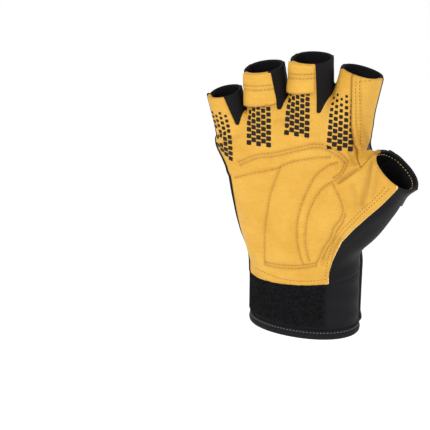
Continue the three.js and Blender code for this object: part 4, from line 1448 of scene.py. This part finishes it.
def cuff_line(height, start, end, count):
    """A level line round the cuff, between two angles in degrees counted from the thumb side."""
    a = np.radians(np.linspace(start, end, count))
    across, deep = HAND["width"][0], HAND["palm"][0]
    return onto_last(np.stack([across * np.cos(a), deep * np.sin(a), np.full(count, float(height))], 1), 4)


grey_thread = thread_material("grey_nylon_thread", "6E6D74")
hem_line = cuff_line(HEM_ROW, start=50, end=382, count=500)
sewn("hem_stitches", [hem_line], HEM_TOP - HEM_ROW_SINK, grey_thread)


# Loop landing
# The strap grips a field of nylon loops that is sewn round the outer side of the band. Its loops are
# brushed up into a dull black tangle.
LOOP_TOP, LOOP_BACKING, TUFT = 0.55, 0.7, 1.54 * MM
FIELD_FOOT, FIELD_FRONT_END, FIELD_BACK_END, FIELD_RIM = 7.4, 20.7, 6, (0.2, 2.2)


def on_field(p):
    """Positive on the landing, which lies a rim's width under the seam and ends in front beside the heel."""
    x, y, z = p.T
    rim = FIELD_RIM[0] + (FIELD_RIM[1] - FIELD_RIM[0]) * smooth_step(y, -4, 4)
    side = np.where(y < 0, FIELD_FRONT_END, FIELD_BACK_END) - x
    return np.minimum.reduce([side, z - FIELD_FOOT, -above_cuff(p) - rim])


# Brushed nylon loops: a dull tangle, drawn as tufts of about 1.5 mm, with painted shade in the gaps between
# them.
landing, landing_tree, landing_skin = new_material("brushed_nylon_loops")
spot = node(landing_tree, "ShaderNodeTexCoord").outputs["Object"]
tangle = node(landing_tree, "ShaderNodeTexNoise", {
    "Vector": spot, "Scale": 1 / TUFT, "Detail": 4}).outputs["Fac"]
# Painted shade: where the tangle's bump sinks between tufts, its colour goes darker.
clumps = node(landing_tree, "ShaderNodeMapRange", {"Value": tangle, "From Min": 0.4, "From Max": 0.62})
tuft_depth = clumps.outputs["Result"]
tuft = node(landing_tree, "ShaderNodeMix", {
    "Factor": tuft_depth, "A": hex_colour("020203"), "B": hex_colour("19181C")}, data_type="RGBA")
rough = node(landing_tree, "ShaderNodeBump", {"Height": tangle, "Strength": 0.8, "Distance": 0.5 * MM})
landing_tree.links.new(tuft.outputs["Result"], landing_skin.inputs["Base Color"])
landing_tree.links.new(rough.outputs["Normal"], landing_skin.inputs["Normal"])
landing_skin.inputs["Roughness"].default_value = 0.85
landing_skin.inputs["Specular IOR Level"].default_value = 0.2

field_sheet = cut(cuff_sheet, on_field)
field = panel("loop_landing", field_sheet, [landing] * 3, top=LOOP_TOP, rounding=0.3, thickness=LOOP_BACKING)
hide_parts("loop_field")

PILE_THREAD, PILE_LENGTH, PILE_HEIGHT, PILE_PER_M2 = 0.09 * MM, 1.7 * MM, 0.55 * MM, 3.6e6


def nylon_loop():
    """One loop of the pile: an arch of thread with three sides."""
    corners, faces = [], []
    for k, t in enumerate((0, 0.35, 0.65, 1)):
        x, z = (t - 0.5) * PILE_LENGTH, math.sin(math.pi * t) * PILE_HEIGHT - 0.15 * MM
        for a in (0.5, 2.6, 4.7):
            corners.append((x, PILE_THREAD * math.cos(a), z + PILE_THREAD * math.sin(a)))
        if k:
            first = 3 * (k - 1)
            for m in range(3):
                after = (m + 1) % 3
                faces.append((first + m, first + after, first + 3 + after, first + 3 + m))
    mesh = bpy.data.meshes.new("nylon_loop")
    mesh.from_pydata(corners, [], faces)
    return bpy.data.objects.new("nylon_loop", mesh)


def pile_tree():
    """A tree that strews loops over a field, each turned at random."""
    tree = new_tree("loop_pile", {"Field": "Geometry", "Loop": "Object", "Density": "Float",
                                  "Nylon": "Material"}, "Pile")
    given = node(tree, "NodeGroupInput").outputs
    strewn = node(tree, "GeometryNodeDistributePointsOnFaces",
                  {"Mesh": given["Field"], "Density": given["Density"], "Seed": 3})
    spin = node(tree, "FunctionNodeRandomValue",
                {"Min": (-0.5, -0.5, 0.0), "Max": (0.5, 0.5, math.tau), "Seed": 5}, data_type="FLOAT_VECTOR")
    by = node(tree, "FunctionNodeEulerToRotation", {"Euler": spin.outputs["Value"]})
    turned = node(tree, "FunctionNodeRotateRotation",
                  {"Rotation": strewn.outputs["Rotation"], "Rotate By": by.outputs["Rotation"]},
                  rotation_space="LOCAL")
    one = node(tree, "GeometryNodeObjectInfo", {"Object": given["Loop"]})
    laid = node(tree, "GeometryNodeInstanceOnPoints", {
        "Points": strewn.outputs["Points"], "Instance": one.outputs["Geometry"],
        "Rotation": turned.outputs["Rotation"]})
    plain = node(tree, "GeometryNodeRealizeInstances", {"Geometry": laid.outputs["Instances"]})
    made = node(tree, "GeometryNodeSetMaterial",
                {"Geometry": plain.outputs["Geometry"], "Material": given["Nylon"]})
    node(tree, "NodeGroupOutput", {"Pile": made.outputs["Geometry"]})
    return tree


field_points, field_tris = main_sheet(field_sheet)
field_mesh = bpy.data.meshes.new("field_ground")
field_top = field_points + LOOP_TOP * normals_at(field_points)
field_mesh.from_pydata((field_top * MM).tolist(), [], field_tris.tolist())
loop = nylon_loop()
pile = grown("loop_pile", field_mesh, pile_tree(), {"Loop": loop, "Density": PILE_PER_M2, "Nylon": landing})
bpy.data.objects.remove(loop)


# Slit binding
# The slit is bound with a rolled cord of black stretch cloth. It runs over the arch and down beside the
# strap, and ends in a rounded knob.
BINDING_ROUTE = [(28, 1.2), (28, 6), (28.1, 14), (28.4, 24), (28.8, 34), (29.3, 41), (28.6, 45.6),
                 (26.4, 47.4), (23.8, 45.8), (21.4, 42), (19.8, 38), (18.4, 32.5)]
BINDING_LEVEL, BINDING_RADIUS, KNOB_RADIUS, KNOB_LENGTH, ROUND_END = 0.5, 1.75, 2.7, 8.0, 2.2
BAR_TACK = [(28.7, 45.4), (27.4, 46.9), (25.4, 47.1), (23.6, 45.6)]


def on_back_of_last(marks, count):
    """A smooth line through (x, z) marks, laid on the back of the last."""
    curve = smooth_curve({"z": [m[1] for m in marks], "x": [m[0] for m in marks]}, count)
    line = []
    for x, z in zip(curve["x"], curve["z"]):
        hit = glove_surface.ray_cast(Vector((x, 90, z)), Vector((0, -1, 0)))[0]
        if hit:
            line.append(hit[:])
    return np.array(line)


route = on_back_of_last(BINDING_ROUTE, 140)
run = run_of(route)
knob = np.clip(run / KNOB_LENGTH, 0, 1)
swell = np.sin(np.pi * np.clip(knob, 0.12, 1)) * (1 - knob) ** 0.3
radii = (BINDING_RADIUS + (KNOB_RADIUS - BINDING_RADIUS) * swell) * np.sqrt(np.clip(run / ROUND_END, 0.02, 1))
binding = piped("rolled_binding", [route], BINDING_LEVEL, radii, sides=16)
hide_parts("slit_binding")
sewn("arch_bar_tack", [on_back_of_last(BAR_TACK, 30)], BINDING_LEVEL + BINDING_RADIUS, grey_thread,
     step=1.5 * MM, length=1.1 * MM)


# Closure strap
# The strap is cut from coated cloth, with a raised edge and one row of black stitches inside it. It starts at
# the slit's binding and grips the loop field with its round end.
STRAP_FOOT, STRAP_HEAD, STRAP_START, STRAP_END, STRAP_ROUND = 6.6, 32.4, 26.6, -20.9, 10.0
STRAP_SKIN, STRAP_TOP, STRAP_ROOT_TOP, STRAP_BORDER = 1.5, 3.0, 1.3, 1.9
STRAP_ROW, STRAP_ROW_SINK, STRAP_SKEW = STRAP_BORDER + 0.5, 0.25, 0.4
PORE, COAT_CLOUD = 0.7 * MM, 20 * MM


def strap_outline(inset, count):
    """The strap's outline, or a line inside it: from its root round its end and back."""
    middle, half = (STRAP_HEAD + STRAP_FOOT) / 2, (STRAP_HEAD - STRAP_FOOT) / 2 - inset
    end = [(STRAP_END + STRAP_ROUND - (STRAP_ROUND - inset) * math.cos(a), middle + half * math.sin(a))
           for a in np.linspace(-math.pi / 2, math.pi / 2, count)]
    return [(STRAP_START, middle - half + STRAP_SKEW)] + end + [(STRAP_START, middle + half + STRAP_SKEW)]


def strap_relief(p, edge):
    """Lower at its root beside the slit; a raised border, with a stitched channel inside it."""
    root = (STRAP_ROOT_TOP - STRAP_TOP) * (1 - smooth_step(STRAP_START - p[:, 0], 0, 9))
    channel = ridge(edge, STRAP_ROW, 0.5)
    border = 0.35 * (1 - smooth_step(edge, STRAP_BORDER - 0.6, STRAP_BORDER))
    # The stitched channel gets painted shade.
    return root + border - 0.3 * channel, channel


# Nylon cloth coated with polyurethane: a black skin with fine pores and a low sheen, with painted shade in
# its stitched channel.
# The pores are drawn about twice as wide as real ones, so that they show.
strap_cloth, strap_tree, strap_skin = new_material("coated_strap_cloth")
spot = node(strap_tree, "ShaderNodeTexCoord").outputs["Object"]
cloud = node(strap_tree, "ShaderNodeTexNoise", {
    "Vector": spot, "Scale": 1 / COAT_CLOUD, "Detail": 3}).outputs["Fac"]
coat = node(strap_tree, "ShaderNodeMix", {
    "Factor": cloud, "A": hex_colour("131317"), "B": hex_colour("1E1E23")}, data_type="RGBA")
# The channel's kept shade is painted shade, mixed in as a darker colour.
channel = node(strap_tree, "ShaderNodeAttribute", attribute_name="shade").outputs["Fac"]
coat_and_painted_shade = node(strap_tree, "ShaderNodeMix", {
    "Factor": channel, "A": coat.outputs["Result"], "B": hex_colour("0C0C0E")}, data_type="RGBA")
pores = node(strap_tree, "ShaderNodeTexVoronoi", {"Vector": spot, "Scale": 1 / PORE}).outputs["Distance"]
skin_bump = node(strap_tree, "ShaderNodeBump", {"Height": pores, "Strength": 0.25, "Distance": 0.1 * MM})
strap_tree.links.new(coat_and_painted_shade.outputs["Result"], strap_skin.inputs["Base Color"])
strap_tree.links.new(skin_bump.outputs["Normal"], strap_skin.inputs["Normal"])
strap_skin.inputs["Roughness"].default_value = 0.55


def on_strap(p):
    """How far points on the back of the cuff are inside the strap's outline."""
    return np.minimum(within(p, strap_outline(0, 25)), p[:, 1] - 2)


strap = panel("wrist_strap", cut(whole_glove, on_strap), [strap_cloth] * 3, top=STRAP_TOP, rounding=0.5,
              relief=strap_relief, thickness=STRAP_SKIN)
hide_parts("closure_strap")
strap_row = on_back_of_last(strap_outline(STRAP_ROW, 13), 240)
inside_border = 9
sewn("strap_stitches", [strap_row], lambda p: STRAP_TOP - STRAP_ROW_SINK + strap_relief(p, inside_border)[0],
     black_thread)


# Floor and light
# The glove stands over a plain white floor in a white studio, lit by two large soft boxes in front and a
# smaller one behind.
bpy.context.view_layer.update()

floor_mesh = bpy.data.meshes.new("floor")
reach, drop = 6, -0.6
floor_corners = [(-reach, -reach, drop), (reach, -reach, drop), (reach, reach, drop), (-reach, reach, drop)]
floor_mesh.from_pydata(floor_corners, [], [(0, 1, 2, 3)])
floor = bpy.data.objects.new("floor", floor_mesh)
bpy.context.scene.collection.objects.link(floor)
# Matt white paint with a little light of its own, so that the ground is as even as in the photo.
floor_paint, _, floor_skin = new_material("white_floor")
floor_skin.inputs["Base Color"].default_value = (0.9, 0.9, 0.9, 1)
floor_skin.inputs["Emission Color"].default_value = (1, 1, 1, 1)
floor_skin.inputs["Emission Strength"].default_value = 0.6
floor_mesh.materials.append(floor_paint)

world = bpy.data.worlds.new("studio")
world.use_nodes = True
sky = world.node_tree
direction = node(sky, "ShaderNodeTexCoord").outputs["Generated"]
height = node(sky, "ShaderNodeSeparateXYZ", {"Vector": direction}).outputs["Z"]
wall = node(sky, "ShaderNodeMapRange", {
    "Value": height, "From Min": 0.2, "From Max": 0.5, "To Min": 1.0, "To Max": 0.3})
sky.links.new(wall.outputs["Result"], sky.nodes["Background"].inputs["Strength"])
sky.nodes["Background"].inputs["Color"].default_value = (1, 1, 1, 1)
bpy.context.scene.world = world
bpy.context.scene.view_settings.view_transform = "Standard"


def soft_box(name, place, aim, width, power):
    """A square soft box in a place, aimed at another, both in metres."""
    light = bpy.data.lights.new(name, "AREA")
    light.shape, light.size, light.energy = "SQUARE", width, power
    made = bpy.data.objects.new(name, light)
    made.location = place
    made.rotation_euler = (Vector(aim) - Vector(place)).to_track_quat("-Z", "Y").to_euler()
    bpy.context.scene.collection.objects.link(made)


soft_box("key", (-0.55, -0.9, 0.95), aim=(0, 0, 0.08), width=0.45, power=9.5)
soft_box("fill", (1.0, -0.9, 0.7), aim=(0, 0, 0.1), width=0.8, power=7.0)
soft_box("behind", (0.9, 0.85, 0.85), aim=(0, 0, 0.1), width=0.5, power=5)
